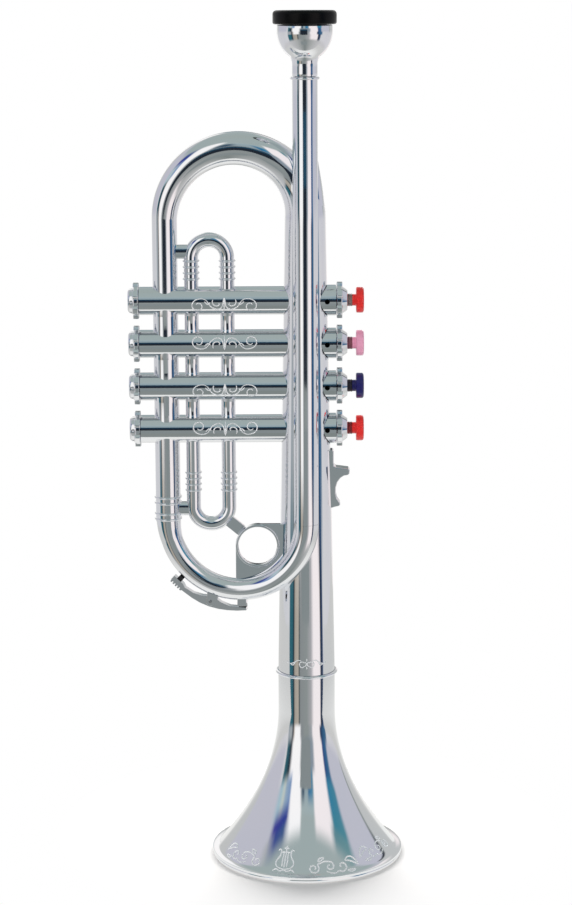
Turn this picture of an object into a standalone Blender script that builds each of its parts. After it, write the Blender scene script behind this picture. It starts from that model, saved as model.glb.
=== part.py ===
"""A toy trumpet that stands on its bell with the mouthpiece up, in metres, +Z up.

The bell, the bell pipe, the bell bow and the left leg lie in the plane y = 0. The leadpipe comes down in
front of the bell pipe and turns back to the left leg through the tuning bow, whose plane is swung about
the left leg. Four valve casings cross the left leg and the bell pipe. Each one holds a sprung key, a plug
that closes an air port, and a reed.
"""

import math

import bmesh
import bpy
from mathutils import Vector

# Fits
GAP = 0.0003  # clearance between pieces that touch
WALL = 0.0013  # wall of the plated tubes
SPIGOT = 0.006  # how far one tube goes into the next

# Bell
RIM_RADIUS = 0.0478
BELL_HEIGHT = 0.0953
FLARE_HEIGHT = 0.075
FLARE_POWER = 2.0
BELL_WALL = 0.0016
LIP_HEIGHT = 0.003
LIP_WIDTH = 0.0024
THROAT_RADIUS = 0.0141
BEAD_RISE = 0.0011
BEAD_HEIGHT = 0.004

# Bell pipe and bell bow
PIPE_TOP_RADIUS = 0.0099
BOW_DROP = 0.0991  # from the lip face down to the bow's centre
BOW_STUB = 0.007
LEG_X = -0.0682
LEG_RADIUS = 0.00615

# Leadpipe and mouthpiece
TOTAL_LENGTH = 0.420
LEAD_RADIUS = 0.0061
LEAD_TOP_Y = -0.0022
LEAD_FOOT_Y = -0.0115
MOUTHPIECE_HEIGHT = 0.0312  # from the leadpipe's end to the lip face
LEAD_COLLAR = 0.0108  # upright stretch at the top that takes the mouthpiece
LEAD_BEAD_RISE = 0.0011
LEAD_BEAD_HEIGHT = 0.0016
CUP_RADIUS = 0.0133
CUP_WALL = 0.0022
CUP_COLLAR = 0.0028
MOUTH_BORE = 0.002
LIP_RIM_RADIUS = 0.0153
LIP_RIM_HEIGHT = 0.0065
LIP_RIM_BORE = 0.0098
LIP_RIM_ROUND = 0.0018
LIP_RIM_SKIRT = 0.0016

# Tuning bow
TUNING_DROP = 0.0455  # from the last valve down to the tuning bow's centre
TUNING_RADIUS = 0.0054
LEG_RIB_START = 0.0004
LEG_RIB_PITCH = 0.0028
LEG_RIB_PAIR = 0.0081
RIB_RISE = 0.0007
RIB_WIDTH = 0.0019

# Valves
VALVES = 4
VALVE_DROP = 0.0396  # from the bow's centre down to the first valve
VALVE_PITCH = 0.0211
CASING_RADIUS = 0.0068
CASING_LEFT = -0.081
CASING_RIGHT = 0.015
CHAMBER_RADIUS = 0.005
REED_BORE = 0.0055
WEB_X = -0.035
WEB_THICKNESS = 0.002
PORT_RADIUS = 0.0032
REED_SEAT_X = -0.0223
VENT_X = 0.0105
VENT_RADIUS = 0.0013
WIND_RADIUS = 0.0038

# Caps of the casings
LUGS = 6
LUG_RADIUS = 0.0087
CAP_RADIUS = 0.0076
CAP_WIDTH = 0.0024
CAP_SPIGOT = 0.0025
DOME_RADIUS = 0.0053
DOME_HEIGHT = 0.003
NOZZLE_FOOT_RADIUS = 0.0066
NOZZLE_TIP_RADIUS = 0.0049
NOZZLE_LENGTH = 0.0026

# Keys
KEY_TRAVEL = 0.0038
KEY_STOP_GAP = 0.0006
BUTTON_RADIUS = 0.0062
BUTTON_THICKNESS = 0.0038
BUTTON_ROUND = 0.0007
STEM_RADIUS = 0.0028
ROD_RADIUS = 0.0015
PLUG_RADIUS = 0.0043
PLUG_THICKNESS = 0.0034
PLUG_END = 0.001
SPRING_LENGTH = 0.0135
SPRING_CURLS = 4
SPRING_CURL_POINTS = 8
SPRING_WIRE = 0.0006

# Reeds
HOLDER_THICKNESS = 0.0034
SLOT_OFFSET = 0.0034
SLOT_WIDTH = 0.0014
SLOT_LENGTH = 0.0052
REED_WIDTH = 0.0019
REED_LENGTH = 0.0062
REED_THICKNESS = 0.0004

# Small slides
SLIDE_X = -0.0555
SLIDE_SPACING = 0.0175
SLIDE_RADIUS = 0.0035
SLIDE_RIBS = 4
SLIDE_RIB_PITCH = 0.0029
UPPER_SLIDE_RISE = 0.0209  # above the first valve
UPPER_RIB_START = 0.0015
LOWER_SLIDE_DROP = 0.0391  # below the last valve
LOWER_RIB_START = 0.0085

# Braces
BRACE_HEIGHT = 0.0066
BRACE_DEPTH = 0.0048
UPPER_BRACE_RAISE = 0.003
LOWER_BRACE_DROP = 0.001
DIAGONAL_WIDTH = 0.0048
DIAGONAL_DEPTH = 0.0026

# Finger ring and finger hook
RING_X = -0.024
RING_DROP = 0.0137  # below the tuning bow's centre
RING_HOLE = 0.00955
RING_WALL = 0.0013
RING_Y = -0.0045
RING_THICKNESS = 0.004
HOOK_DROP = 0.0398  # below the last valve
HOOK_HEIGHT = 0.0295
HOOK_PLATE = 0.0018
HOOK_DEPTH = 0.007
HOOK_REACH = 0.0078
HOOK_ARM_Z = 0.0208
HOOK_ARM_THICKNESS = 0.0042
HOOK_CURL_RADIUS = 0.0066
HOOK_TOE = 0.0026

# Water key, placed by angles round the tuning bow from straight down towards the left leg
PIVOT_ANGLE = math.radians(18.0)
PIVOT_DROP = 0.0026
BOSS_RADIUS = 0.002
LEVER_DROP = 0.0036
LEVER_THICKNESS = 0.0024
LEVER_WIDTH = 0.004
LEVER_TIP_ANGLE = math.radians(-6.5)
PAD_START_ANGLE = math.radians(38.5)
PAD_END_ANGLE = math.radians(48.0)
PAD_DROP = 0.0026
BLOCK_START_ANGLE = math.radians(42.0)
BLOCK_END_ANGLE = math.radians(45.5)
BLOCK_WIDTH = 0.0036
CHEEK_THICKNESS = 0.0012
CHEEK_HALF_ANGLE = math.radians(4.0)
PIN_RADIUS = 0.0008
PIN_PROUD = 0.0005
NIPPLE_ANGLE = math.radians(-3.6)
NIPPLE_RADIUS = 0.002
NIPPLE_HEIGHT = 0.0014
DRAIN_RADIUS = 0.0008
CORK_RADIUS = 0.0021

# Facets
BELL_SIDES = 32
FLARE_STEPS = 9
PIPE_SIDES = 24
TUBE_SIDES = 16
BOW_STEPS = 12
TUNING_STEPS = 14
VALVE_SIDES = 18
SLIDE_SIDES = 8
SLIDE_STEPS = 6
CUP_SIDES = 24
SHARP_ANGLE = math.radians(35.0)

# What follows from the sizes above
X_AXIS, Y_AXIS, Z_AXIS = Vector((1, 0, 0)), Vector((0, 1, 0)), Vector((0, 0, 1))
BOW_Z = TOTAL_LENGTH - BOW_DROP
VALVE_ZS = [BOW_Z - VALVE_DROP - VALVE_PITCH * n for n in range(VALVES)]
UPPER_SLIDE_Z = VALVE_ZS[0] + UPPER_SLIDE_RISE
LOWER_SLIDE_Z = VALVE_ZS[-1] - LOWER_SLIDE_DROP
TUNING_Z = VALVE_ZS[-1] - TUNING_DROP
RING_Z = TUNING_Z - RING_DROP
HOOK_FOOT_Z = VALVE_ZS[-1] - HOOK_DROP
PIPE_FOOT_Z = BELL_HEIGHT + GAP
PIPE_TOP_Z = BOW_Z - BOW_STUB - GAP
BUTTON_X = CASING_RIGHT + GAP + CAP_WIDTH + NOZZLE_LENGTH + KEY_STOP_GAP + KEY_TRAVEL
CAP_END_X = CASING_LEFT - GAP - CAP_WIDTH - DOME_HEIGHT
HOLDER_LEFT = REED_SEAT_X + GAP
HOLDER_RIGHT = HOLDER_LEFT + HOLDER_THICKNESS
SPRING_LEFT = HOLDER_RIGHT + REED_THICKNESS + 2 * GAP
SHOULDER_X = SPRING_LEFT + SPRING_LENGTH + GAP
SPRING_RADIUS = (STEM_RADIUS + ROD_RADIUS) / 2
PLUG_RIGHT = WEB_X - WEB_THICKNESS / 2 - GAP
LEAD_TOP_Z = TOTAL_LENGTH - MOUTHPIECE_HEIGHT
MOUTH_Z = TOTAL_LENGTH - LIP_RIM_HEIGHT - GAP
CUP_CENTRE_Z = MOUTH_Z - CUP_COLLAR
SWING = math.atan2(LEAD_FOOT_Y, -LEG_X)
SWING_DIRECTION = Vector((math.cos(SWING), math.sin(SWING), 0))
SWING_NORMAL = Vector((-math.sin(SWING), math.cos(SWING), 0))
TUNING_ARC = math.hypot(LEG_X, LEAD_FOOT_Y) / 2
TUNING_CENTRE = Vector((LEG_X, 0, TUNING_Z)) + SWING_DIRECTION * TUNING_ARC
TUNING_OUTSIDE = TUNING_ARC + TUNING_RADIUS
SLIDE_ARC = SLIDE_SPACING / 2
SLIDE_MIDDLE = SLIDE_X + SLIDE_ARC
RING_OUTSIDE = RING_HOLE + RING_WALL
ORIGIN_X = -(CAP_END_X + RIM_RADIUS) / 2  # puts the origin under the middle of the whole object

# Finishes: base colour in sRGB, metallic value, roughness
FINISHES = {
    "chrome": ((205, 205, 210), 1.0, 0.10),
    "black": ((18, 18, 20), 0.0, 0.35),
    "red": ((214, 48, 46), 0.0, 0.25),
    "pink": ((240, 145, 180), 0.0, 0.25),
    "blue": ((30, 28, 100), 0.0, 0.25),
    "rubber": ((30, 30, 32), 0.0, 0.8),
    "steel": ((170, 172, 176), 1.0, 0.3),
    "grey": ((150, 152, 156), 0.0, 0.5),
    "brass": ((200, 160, 80), 1.0, 0.3),
    "cork": ((170, 120, 70), 0.0, 0.9),
}
KEY_COLOURS = ["red", "pink", "blue", "red"]


def clear_scene():
    for obj in list(bpy.data.objects):
        bpy.data.objects.remove(obj, do_unlink=True)


def linear(channel):
    value = channel / 255
    return value / 12.92 if value <= 0.04045 else ((value + 0.055) / 1.055) ** 2.4


def finish_material(name, finish):
    colour, metallic, roughness = FINISHES[finish]
    material = bpy.data.materials.new(name + "_finish")
    material.use_nodes = True
    shader = material.node_tree.nodes["Principled BSDF"]
    shader.inputs["Base Color"].default_value = (*[linear(c) for c in colour], 1)
    shader.inputs["Metallic"].default_value = metallic
    shader.inputs["Roughness"].default_value = roughness
    return material


def place(name, data, finish, location=(0, 0, 0), turn=0.0):
    """An object of the trumpet, with a material of its own, under the root empty."""
    obj = bpy.data.objects.new(name, data)
    bpy.context.scene.collection.objects.link(obj)
    obj.parent = root
    obj.location = location
    obj.rotation_euler.z = turn
    if not data.materials:
        data.materials.append(None)
    obj.material_slots[0].link = "OBJECT"
    obj.material_slots[0].material = finish_material(name, finish)
    return obj


def cutter(name, mesh):
    """A helper that other pieces are cut with. It isn't a piece of the trumpet."""
    obj = bpy.data.objects.new(name, mesh)
    bpy.context.scene.collection.objects.link(obj)
    obj.parent = root
    obj.hide_render = True
    obj.display_type = "WIRE"
    return obj


def boolean(obj, other, operation="DIFFERENCE"):
    modifier = obj.modifiers.new(other.name, "BOOLEAN")
    modifier.operation = operation
    modifier.object = other
    modifier.solver = "EXACT"


def finished(bm, name):
    """The mesh of a bmesh, faces out and shaded smooth up to its sharp edges."""
    bmesh.ops.recalc_face_normals(bm, faces=bm.faces)
    mesh = bpy.data.meshes.new(name)
    bm.to_mesh(mesh)
    bm.free()
    mesh.shade_smooth()
    mesh.set_sharp_from_angle(angle=SHARP_ANGLE)
    return mesh


def add_skin(bm, rings, closed=False):
    """Joins rings of points with faces. A ring of one point is a tip, and open ends are capped."""
    loops = [[bm.verts.new(point) for point in ring] for ring in rings]
    pairs = list(zip(loops, loops[1:]))
    if closed:
        pairs.append((loops[-1], loops[0]))
    for near, far in pairs:
        count = max(len(near), len(far))
        for i in range(count):
            j = (i + 1) % count
            corners = [near[i % len(near)], near[j % len(near)], far[j % len(far)], far[i % len(far)]]
            bm.faces.new(list(dict.fromkeys(corners)))
    if not closed:
        for end in (loops[0], loops[-1]):
            if len(end) > 2:
                bm.faces.new(end)


def skin_mesh(name, rings, closed=False):
    bm = bmesh.new()
    add_skin(bm, rings, closed)
    return finished(bm, name)


def circle(centre, radius, across, up, sides):
    if radius == 0:
        return [Vector(centre)]
    angles = [2 * math.pi * i / sides for i in range(sides)]
    return [centre + across * (radius * math.cos(a)) + up * (radius * math.sin(a)) for a in angles]


def upright_ring(x, y, z, radius, sides):
    return circle(Vector((x, y, z)), radius, X_AXIS, Y_AXIS, sides)


def crosswise_ring(x, radius, sides):
    return circle(X_AXIS * x, radius, Y_AXIS, Z_AXIS, sides)


def turned_upright(name, profile, sides, closed=True, y=0.0):
    """A piece turned about an upright axis, from (radius, z) points."""
    return skin_mesh(name, [upright_ring(0, y, z, r, sides) for r, z in profile], closed)


def turned_crosswise(name, profile, sides, closed=True):
    """A piece turned about the X axis, from (x, radius) points."""
    return skin_mesh(name, [crosswise_ring(x, r, sides) for x, r in profile], closed)


def arc(middle, radius, start, end, steps):
    """Points of a flat arc, from angles in radians."""
    angles = [start + (end - start) * i / steps for i in range(steps + 1)]
    return [(middle[0] + radius * math.cos(a), middle[1] + radius * math.sin(a)) for a in angles]


def plate_mesh(name, outline, depth, middle_y=0.0):
    """A plate of even depth along Y, from an outline of (x, z) points."""
    near = [Vector((x, middle_y - depth / 2, z)) for x, z in outline]
    far = [point + Y_AXIS * depth for point in near]
    return skin_mesh(name, [near, far])


def rod_mesh(name, start, end, radius, sides):
    along = (end - start).normalized()
    across = along.orthogonal().normalized()
    up = along.cross(across)
    return skin_mesh(name, [circle(point, radius, across, up, sides) for point in (start, end)])


def seated(ring, valve_z, side):
    """A ring dropped along Z on to a casing: side 1 sits on top of it, side -1 hangs below it."""
    reach = CASING_RADIUS + GAP
    return [Vector((p.x, p.y, valve_z + side * math.sqrt(reach**2 - p.y**2))) for p in ring]


def swept(stations, normal, sides):
    """Rings round stations of (centre, direction, radius) on a path in the plane with this normal."""
    return [circle(c, r, normal, d.normalized().cross(normal), sides) for c, d, r in stations]


def rib_stations(x, zs, radius, direction):
    """Stations of the raised ribs on an upright leg, in the order that the path meets them."""
    stations = []
    for z in sorted(zs, reverse=direction.z < 0):
        for step, rise in ((-0.5, 0), (-0.25, RIB_RISE), (0.25, RIB_RISE), (0.5, 0)):
            stations.append((Vector((x, 0, z + step * RIB_WIDTH * direction.z)), direction, radius + rise))
    return stations


def pipe_radius(z):
    share = (z - PIPE_FOOT_Z) / (BOW_Z - PIPE_FOOT_Z)
    return THROAT_RADIUS + (PIPE_TOP_RADIUS - THROAT_RADIUS) * share


def lead_y(z):
    share = (z - TUNING_Z) / (LEAD_TOP_Z - LEAD_COLLAR - TUNING_Z)
    return LEAD_FOOT_Y + (LEAD_TOP_Y - LEAD_FOOT_Y) * min(share, 1.0)


def bow_stations():
    """The bell bow, from the left leg over the top: its outside is a half circle, and its tube widens."""
    outside = (PIPE_TOP_RADIUS + LEG_RADIUS - LEG_X) / 2
    middle_x = PIPE_TOP_RADIUS - outside
    stations = []
    for i in range(BOW_STEPS + 1):
        share = i / BOW_STEPS
        radius = LEG_RADIUS + (PIPE_TOP_RADIUS - LEG_RADIUS) * share
        angle = math.pi * (1 - share)
        outward = Vector((math.cos(angle), 0, math.sin(angle)))
        centre = Vector((middle_x, 0, BOW_Z)) + outward * (outside - radius)
        stations.append((centre, Vector((outward.z, 0, -outward.x)), radius))
    return stations


def tuning_stations():
    """The tuning bow from the left leg down and round to the foot of the leadpipe."""
    first = TUNING_Z + LEG_RIB_START
    ribs = [first + pair * LEG_RIB_PAIR + rib * LEG_RIB_PITCH for pair in (0, 1) for rib in (0, 1)]
    stations = []
    for centre, direction, radius in rib_stations(LEG_X, ribs, LEG_RADIUS, -Z_AXIS):
        if centre.z > TUNING_Z:
            stations.append((centre, direction, radius))
    for i in range(TUNING_STEPS + 1):
        share = i / TUNING_STEPS
        angle = math.pi * (1 + share)
        outward = SWING_DIRECTION * math.cos(angle) + Z_AXIS * math.sin(angle)
        along = Z_AXIS * math.cos(angle) - SWING_DIRECTION * math.sin(angle)
        late = max(0.0, 2 * share - 1)
        radius = TUNING_RADIUS + (LEAD_RADIUS - TUNING_RADIUS) * late
        stations.append((TUNING_CENTRE + outward * TUNING_ARC, along, radius))
    return stations


def slide_stations(arc_z, rib_start, side):
    """A small slide: side 1 arches up from the first casing, side -1 hangs from the last one."""
    ribs = [arc_z - side * (rib_start + n * SLIDE_RIB_PITCH) for n in range(SLIDE_RIBS)]
    outbound = Z_AXIS * side
    stations = rib_stations(SLIDE_X, ribs, SLIDE_RADIUS, outbound)
    for i in range(SLIDE_STEPS + 1):
        angle = math.pi * (1 - i / SLIDE_STEPS)
        centre = Vector((SLIDE_MIDDLE, 0, arc_z))
        centre += Vector((math.cos(angle), 0, side * math.sin(angle))) * SLIDE_ARC
        direction = Vector((math.sin(angle), 0, -side * math.cos(angle)))
        stations.append((centre, direction, SLIDE_RADIUS))
    return stations + rib_stations(SLIDE_X + SLIDE_SPACING, ribs, SLIDE_RADIUS, -outbound)


def grown(stations):
    """The same stations with the clearance added, for cutting what meets the tube."""
    return [(centre, direction, radius + GAP) for centre, direction, radius in stations]


def tube_mesh(name, outer, inner):
    """A hollow tube from its outer and inner rings, open at both ends."""
    return skin_mesh(name, outer + inner[::-1], closed=True)


def at_leg(x, z, direction, radius):
    return (Vector((x, 0, z)), direction, radius)


def bow_point(angle, reach, side=0.0):
    """A point by the tuning bow: angle from straight down, reach from the arc's middle, side off plane."""
    outward = -SWING_DIRECTION * math.sin(angle) - Z_AXIS * math.cos(angle)
    return TUNING_CENTRE + outward * reach + SWING_NORMAL * side


def bow_sector(outline, low_side, high_side):
    """A solid between two offsets from the bow's plane, from an outline of (angle, reach) points."""
    return [[bow_point(a, r, side) for a, r in outline] for side in (low_side, high_side)]


def moved_to(rings, origin):
    """The rings as seen from an object that stands at origin, turned with the bow's plane."""
    local = []
    for ring in rings:
        offsets = [point - origin for point in ring]
        local.append([Vector((o.dot(SWING_DIRECTION), o.dot(SWING_NORMAL), o.z)) for o in offsets])
    return local


# Bell and tubes


def flare_radius(z):
    share = max(0.0, 1 - z / FLARE_HEIGHT)
    return THROAT_RADIUS + (RIM_RADIUS - THROAT_RADIUS) * share**FLARE_POWER


def flare_offset(z):
    """The point of the inner wall that faces the outer wall at this height."""
    step = FLARE_HEIGHT / 1000
    slope = (flare_radius(z + step) - flare_radius(z)) / step
    length = math.hypot(1, slope)
    return flare_radius(z) - BELL_WALL / length, z + BELL_WALL * slope / length


def make_bell():
    bead_foot = BELL_HEIGHT - BEAD_HEIGHT
    rise = FLARE_HEIGHT - LIP_HEIGHT
    heights = [LIP_HEIGHT + rise * (i / FLARE_STEPS) ** 1.3 for i in range(FLARE_STEPS + 1)]
    outer = [(flare_radius(z), z) for z in heights]
    inner = [flare_offset(z) for z in heights[1:]]
    bead = []
    for i in range(5):
        angle = math.pi * i / 4
        radius = THROAT_RADIUS + BEAD_RISE * math.sin(angle)
        bead.append((radius, bead_foot + BEAD_HEIGHT * (1 - math.cos(angle)) / 2))
    lip = [
        (RIM_RADIUS, LIP_HEIGHT),
        (RIM_RADIUS, LIP_HEIGHT * 0.3),
        (RIM_RADIUS - LIP_HEIGHT * 0.25, 0),
        (RIM_RADIUS - LIP_HEIGHT * 0.25 - LIP_WIDTH, 0),
    ]
    throat = (THROAT_RADIUS - BELL_WALL, BELL_HEIGHT)
    profile = bead[::-1] + outer[::-1] + lip + inner + [throat]
    place("bell", turned_upright("bell", profile, BELL_SIDES), "chrome")


def make_bell_pipe():
    spigot_radius = THROAT_RADIUS - BELL_WALL - GAP
    top_spigot = pipe_radius(PIPE_TOP_Z) - WALL - GAP
    profile = [
        (spigot_radius, PIPE_FOOT_Z - SPIGOT),
        (spigot_radius, PIPE_FOOT_Z),
        (THROAT_RADIUS, PIPE_FOOT_Z),
        (pipe_radius(PIPE_TOP_Z), PIPE_TOP_Z),
        (top_spigot, PIPE_TOP_Z),
        (top_spigot, PIPE_TOP_Z + SPIGOT),
        (top_spigot - WALL, PIPE_TOP_Z + SPIGOT),
        (top_spigot - WALL, PIPE_TOP_Z - WALL),
        (pipe_radius(PIPE_TOP_Z) - WALL, PIPE_TOP_Z - WALL),
        (THROAT_RADIUS - WALL, PIPE_FOOT_Z + WALL),
        (spigot_radius - WALL, PIPE_FOOT_Z + WALL),
        (spigot_radius - WALL, PIPE_FOOT_Z - SPIGOT),
    ]
    pipe = place("bell_pipe", turned_upright("bell_pipe", profile, PIPE_SIDES), "chrome")
    boolean(pipe, casing_cutter)


def bell_line(grow):
    """Stations up the bell pipe and back over the bell bow to the first casing."""
    foot = (Vector((0, 0, PIPE_FOOT_Z)), Z_AXIS, THROAT_RADIUS + grow)
    bow = [(centre, -direction, radius + grow) for centre, direction, radius in reversed(bow_stations())]
    leg = at_leg(LEG_X, VALVE_ZS[0] + CASING_RADIUS, -Z_AXIS, LEG_RADIUS + grow)
    return [foot] + bow + [leg]


def make_bell_bow():
    rings = {}
    for side, inset in (("outer", 0.0), ("inner", WALL)):
        leg = at_leg(LEG_X, VALVE_ZS[0], Z_AXIS, LEG_RADIUS - inset)
        bow = [(c, d, r - inset) for c, d, r in bow_stations()]
        stub_radius = pipe_radius(PIPE_TOP_Z) - inset
        stub = (Vector((0, 0, BOW_Z - BOW_STUB)), -Z_AXIS, stub_radius)
        path = swept([leg] + bow + [stub], Y_AXIS, TUBE_SIDES)
        rings[side] = [seated(path[0], VALVE_ZS[0], 1)] + path[1:]
    place("bell_bow", tube_mesh("bell_bow", rings["outer"], rings["inner"]), "chrome")


def make_leadpipe():
    foot = TUNING_Z + GAP
    knee = LEAD_TOP_Z - LEAD_COLLAR
    bead_foot = LEAD_TOP_Z - LEAD_BEAD_HEIGHT
    bead_radius = LEAD_RADIUS + LEAD_BEAD_RISE
    outer = [(foot, LEAD_RADIUS), (knee, LEAD_RADIUS), (bead_foot, LEAD_RADIUS), (bead_foot, bead_radius)]
    outer.append((LEAD_TOP_Z, bead_radius))
    inner = [(foot, LEAD_RADIUS - WALL), (knee, LEAD_RADIUS - WALL), (LEAD_TOP_Z, LEAD_RADIUS - WALL)]
    rings = [[upright_ring(0, lead_y(z), z, r, TUBE_SIDES) for z, r in wall] for wall in (outer, inner)]
    leadpipe = place("leadpipe", tube_mesh("leadpipe", *rings), "chrome")
    boolean(leadpipe, bell_cutter)


def make_tuning_bow():
    last_z = VALVE_ZS[-1]
    leg = at_leg(LEG_X, last_z, -Z_AXIS, LEG_RADIUS)
    path = swept([leg] + tuning_stations(), SWING_NORMAL, TUBE_SIDES)
    outer = [seated(path[0], last_z, -1)] + path[1:]
    bore = TUNING_RADIUS - WALL
    plain = [(c, d, bore) for c, d, _ in tuning_stations()[-TUNING_STEPS - 1:]]
    path = swept([at_leg(LEG_X, last_z, -Z_AXIS, bore)] + plain, SWING_NORMAL, TUBE_SIDES)
    inner = [seated(path[0], last_z, -1)] + path[1:]
    bow = place("tuning_bow", tube_mesh("tuning_bow", outer, inner), "chrome")
    boolean(bow, water_key_seat(), "UNION")
    boolean(bow, cutter("drain_cutter", drain_mesh()))
    boolean(bow, bell_cutter)


def make_links():
    """The short tubes between one casing and the next: the leg's are hollow, the slides' are solid."""
    for n in range(VALVES - 1):
        top, foot = VALVE_ZS[n], VALVE_ZS[n + 1]
        walls = []
        for radius in (LEG_RADIUS, LEG_RADIUS - WALL):
            ring = upright_ring(LEG_X, 0, 0, radius, TUBE_SIDES)
            walls.append([seated(ring, top, -1), seated(ring, foot, 1)])
        place(f"leg_link_{n + 1}", tube_mesh("leg_link", *walls), "chrome")
        for side, x in (("left", SLIDE_X), ("right", SLIDE_X + SLIDE_SPACING)):
            name = f"slide_link_{side}_{n + 1}"
            rings = slide_end(x, top, -1) + slide_end(x, foot, 1)[::-1]
            place(name, skin_mesh(name, rings), "chrome")


def slide_end(x, valve_z, side):
    """The end of a solid slide tube, hollowed to lie on a casing, from its middle out."""
    radii = (0, SLIDE_RADIUS / 2, SLIDE_RADIUS)
    return [seated(upright_ring(x, 0, 0, radius, SLIDE_SIDES), valve_z, side) for radius in radii]


def make_slides():
    places = (
        ("upper_slide", UPPER_SLIDE_Z, UPPER_RIB_START, 1, VALVE_ZS[0]),
        ("lower_slide", LOWER_SLIDE_Z, LOWER_RIB_START, -1, VALVE_ZS[-1]),
    )
    cutters = {}
    for name, arc_z, rib_start, side, valve_z in places:
        stations = slide_stations(arc_z, rib_start, side)
        ends = []
        for x, direction in ((SLIDE_X, Z_AXIS * side), (SLIDE_X + SLIDE_SPACING, -Z_AXIS * side)):
            radii = (0, SLIDE_RADIUS / 2, SLIDE_RADIUS)
            rings = [swept([at_leg(x, 0, direction, r)], Y_AXIS, SLIDE_SIDES)[0] for r in radii]
            ends.append([seated(ring, valve_z, side) for ring in rings])
        rings = ends[0] + swept(stations, Y_AXIS, SLIDE_SIDES) + ends[1][::-1]
        place(name, skin_mesh(name, rings), "chrome")
        cut = skin_mesh(name + "_cutter", swept(grown(stations), Y_AXIS, SLIDE_SIDES))
        cutters[name] = cutter(name + "_cutter", cut)
    return cutters


# Mouthpiece


def make_mouthpiece():
    """The cup with its shank in the leadpipe, and the black lip rim that sits in the cup."""
    y = LEAD_TOP_Y
    foot = LEAD_TOP_Z + GAP
    plug = LEAD_RADIUS - WALL - GAP
    inside = CUP_RADIUS - CUP_WALL
    low = math.acos(LEAD_RADIUS / CUP_RADIUS)
    bowl = arc((0, CUP_CENTRE_Z), CUP_RADIUS, -low, 0, 6)
    deep = math.acos(MOUTH_BORE / inside)
    hollow = arc((0, CUP_CENTRE_Z), inside, 0, -deep, 5)
    profile = [(plug, foot - SPIGOT), (plug, foot), (LEAD_RADIUS, foot)] + bowl
    profile += [(CUP_RADIUS, MOUTH_Z), (inside, MOUTH_Z)] + hollow + [(MOUTH_BORE, foot - SPIGOT)]
    place("mouthpiece_cup", turned_upright("mouthpiece_cup", profile, CUP_SIDES, y=y), "chrome")

    seat = MOUTH_Z + GAP
    skirt = inside - GAP
    corner = LIP_RIM_RADIUS - LIP_RIM_ROUND
    top = arc((corner, TOTAL_LENGTH - LIP_RIM_ROUND), LIP_RIM_ROUND, 0, math.pi / 2, 3)
    base = arc((corner, seat + LIP_RIM_ROUND), LIP_RIM_ROUND, -math.pi / 2, 0, 3)
    profile = base + top
    profile += [(LIP_RIM_BORE + LIP_RIM_ROUND, TOTAL_LENGTH), (LIP_RIM_BORE, TOTAL_LENGTH - LIP_RIM_ROUND)]
    foot = seat - LIP_RIM_SKIRT
    profile += [(skirt - LIP_RIM_SKIRT / 2, foot), (skirt, foot), (skirt, seat)]
    place("lip_rim", turned_upright("lip_rim", profile, CUP_SIDES, y=y), "black")


# Valves


def lugged_ring(x):
    """A ring of the cap with lugs round it, one at the top and one at the bottom."""
    points = []
    for i, point in enumerate(crosswise_ring(x, 1.0, VALVE_SIDES)):
        radius = CAP_RADIUS if i % (VALVE_SIDES // LUGS) == 0 else LUG_RADIUS
        points.append(Vector((x, point.y * radius, point.z * radius)))
    return points


def casing_mesh():
    web_left, web_right = WEB_X - WEB_THICKNESS / 2, WEB_X + WEB_THICKNESS / 2
    profile = [
        (CASING_LEFT, CASING_RADIUS),
        (CASING_RIGHT, CASING_RADIUS),
        (CASING_RIGHT, REED_BORE),
        (REED_SEAT_X, REED_BORE),
        (REED_SEAT_X, CHAMBER_RADIUS),
        (web_right, CHAMBER_RADIUS),
        (web_right, PORT_RADIUS),
        (web_left, PORT_RADIUS),
        (web_left, CHAMBER_RADIUS),
        (CASING_LEFT, CHAMBER_RADIUS),
    ]
    return turned_crosswise("valve_casing", profile, VALVE_SIDES)


def bottom_cap_mesh():
    face = CASING_LEFT - GAP
    back = face - CAP_WIDTH
    plug = CHAMBER_RADIUS - GAP
    spigot = ((face + CAP_SPIGOT, 0), (face + CAP_SPIGOT, plug), (face, plug))
    rings = [crosswise_ring(x, r, VALVE_SIDES) for x, r in spigot]
    rings += [lugged_ring(face), lugged_ring(back)]
    for angle in (0, 0.35, 0.7):
        turn = angle * math.pi / 2
        x = back - DOME_HEIGHT * math.sin(turn)
        rings.append(crosswise_ring(x, DOME_RADIUS * math.cos(turn), VALVE_SIDES))
    rings.append(crosswise_ring(CAP_END_X, 0, VALVE_SIDES))
    return skin_mesh("bottom_cap", rings)


def top_cap_mesh():
    face = CASING_RIGHT + GAP
    front = face + CAP_WIDTH
    tip = front + NOZZLE_LENGTH
    plug = REED_BORE - GAP
    guide = STEM_RADIUS + GAP
    spigot = ((face - CAP_SPIGOT, guide), (face - CAP_SPIGOT, plug), (face, plug))
    rings = [crosswise_ring(x, r, VALVE_SIDES) for x, r in spigot]
    rings += [lugged_ring(face), lugged_ring(front)]
    nozzle = ((front, NOZZLE_FOOT_RADIUS), (tip, NOZZLE_TIP_RADIUS), (tip, guide))
    rings += [crosswise_ring(x, r, VALVE_SIDES) for x, r in nozzle]
    return skin_mesh("top_cap", rings, closed=True)


def key_mesh():
    """The coloured button with its stem, and the thin rod that carries the plug."""
    back = BUTTON_X + BUTTON_THICKNESS
    profile = [
        (PLUG_RIGHT - PLUG_THICKNESS + PLUG_END + GAP, 0),
        (PLUG_RIGHT - PLUG_THICKNESS + PLUG_END + GAP, ROD_RADIUS),
        (SHOULDER_X, ROD_RADIUS),
        (SHOULDER_X, STEM_RADIUS),
        (BUTTON_X, STEM_RADIUS),
        (BUTTON_X, BUTTON_RADIUS),
        (back - BUTTON_ROUND, BUTTON_RADIUS),
        (back, BUTTON_RADIUS - BUTTON_ROUND),
        (back, 0),
    ]
    return turned_crosswise("key", profile, VALVE_SIDES, closed=False)


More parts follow.
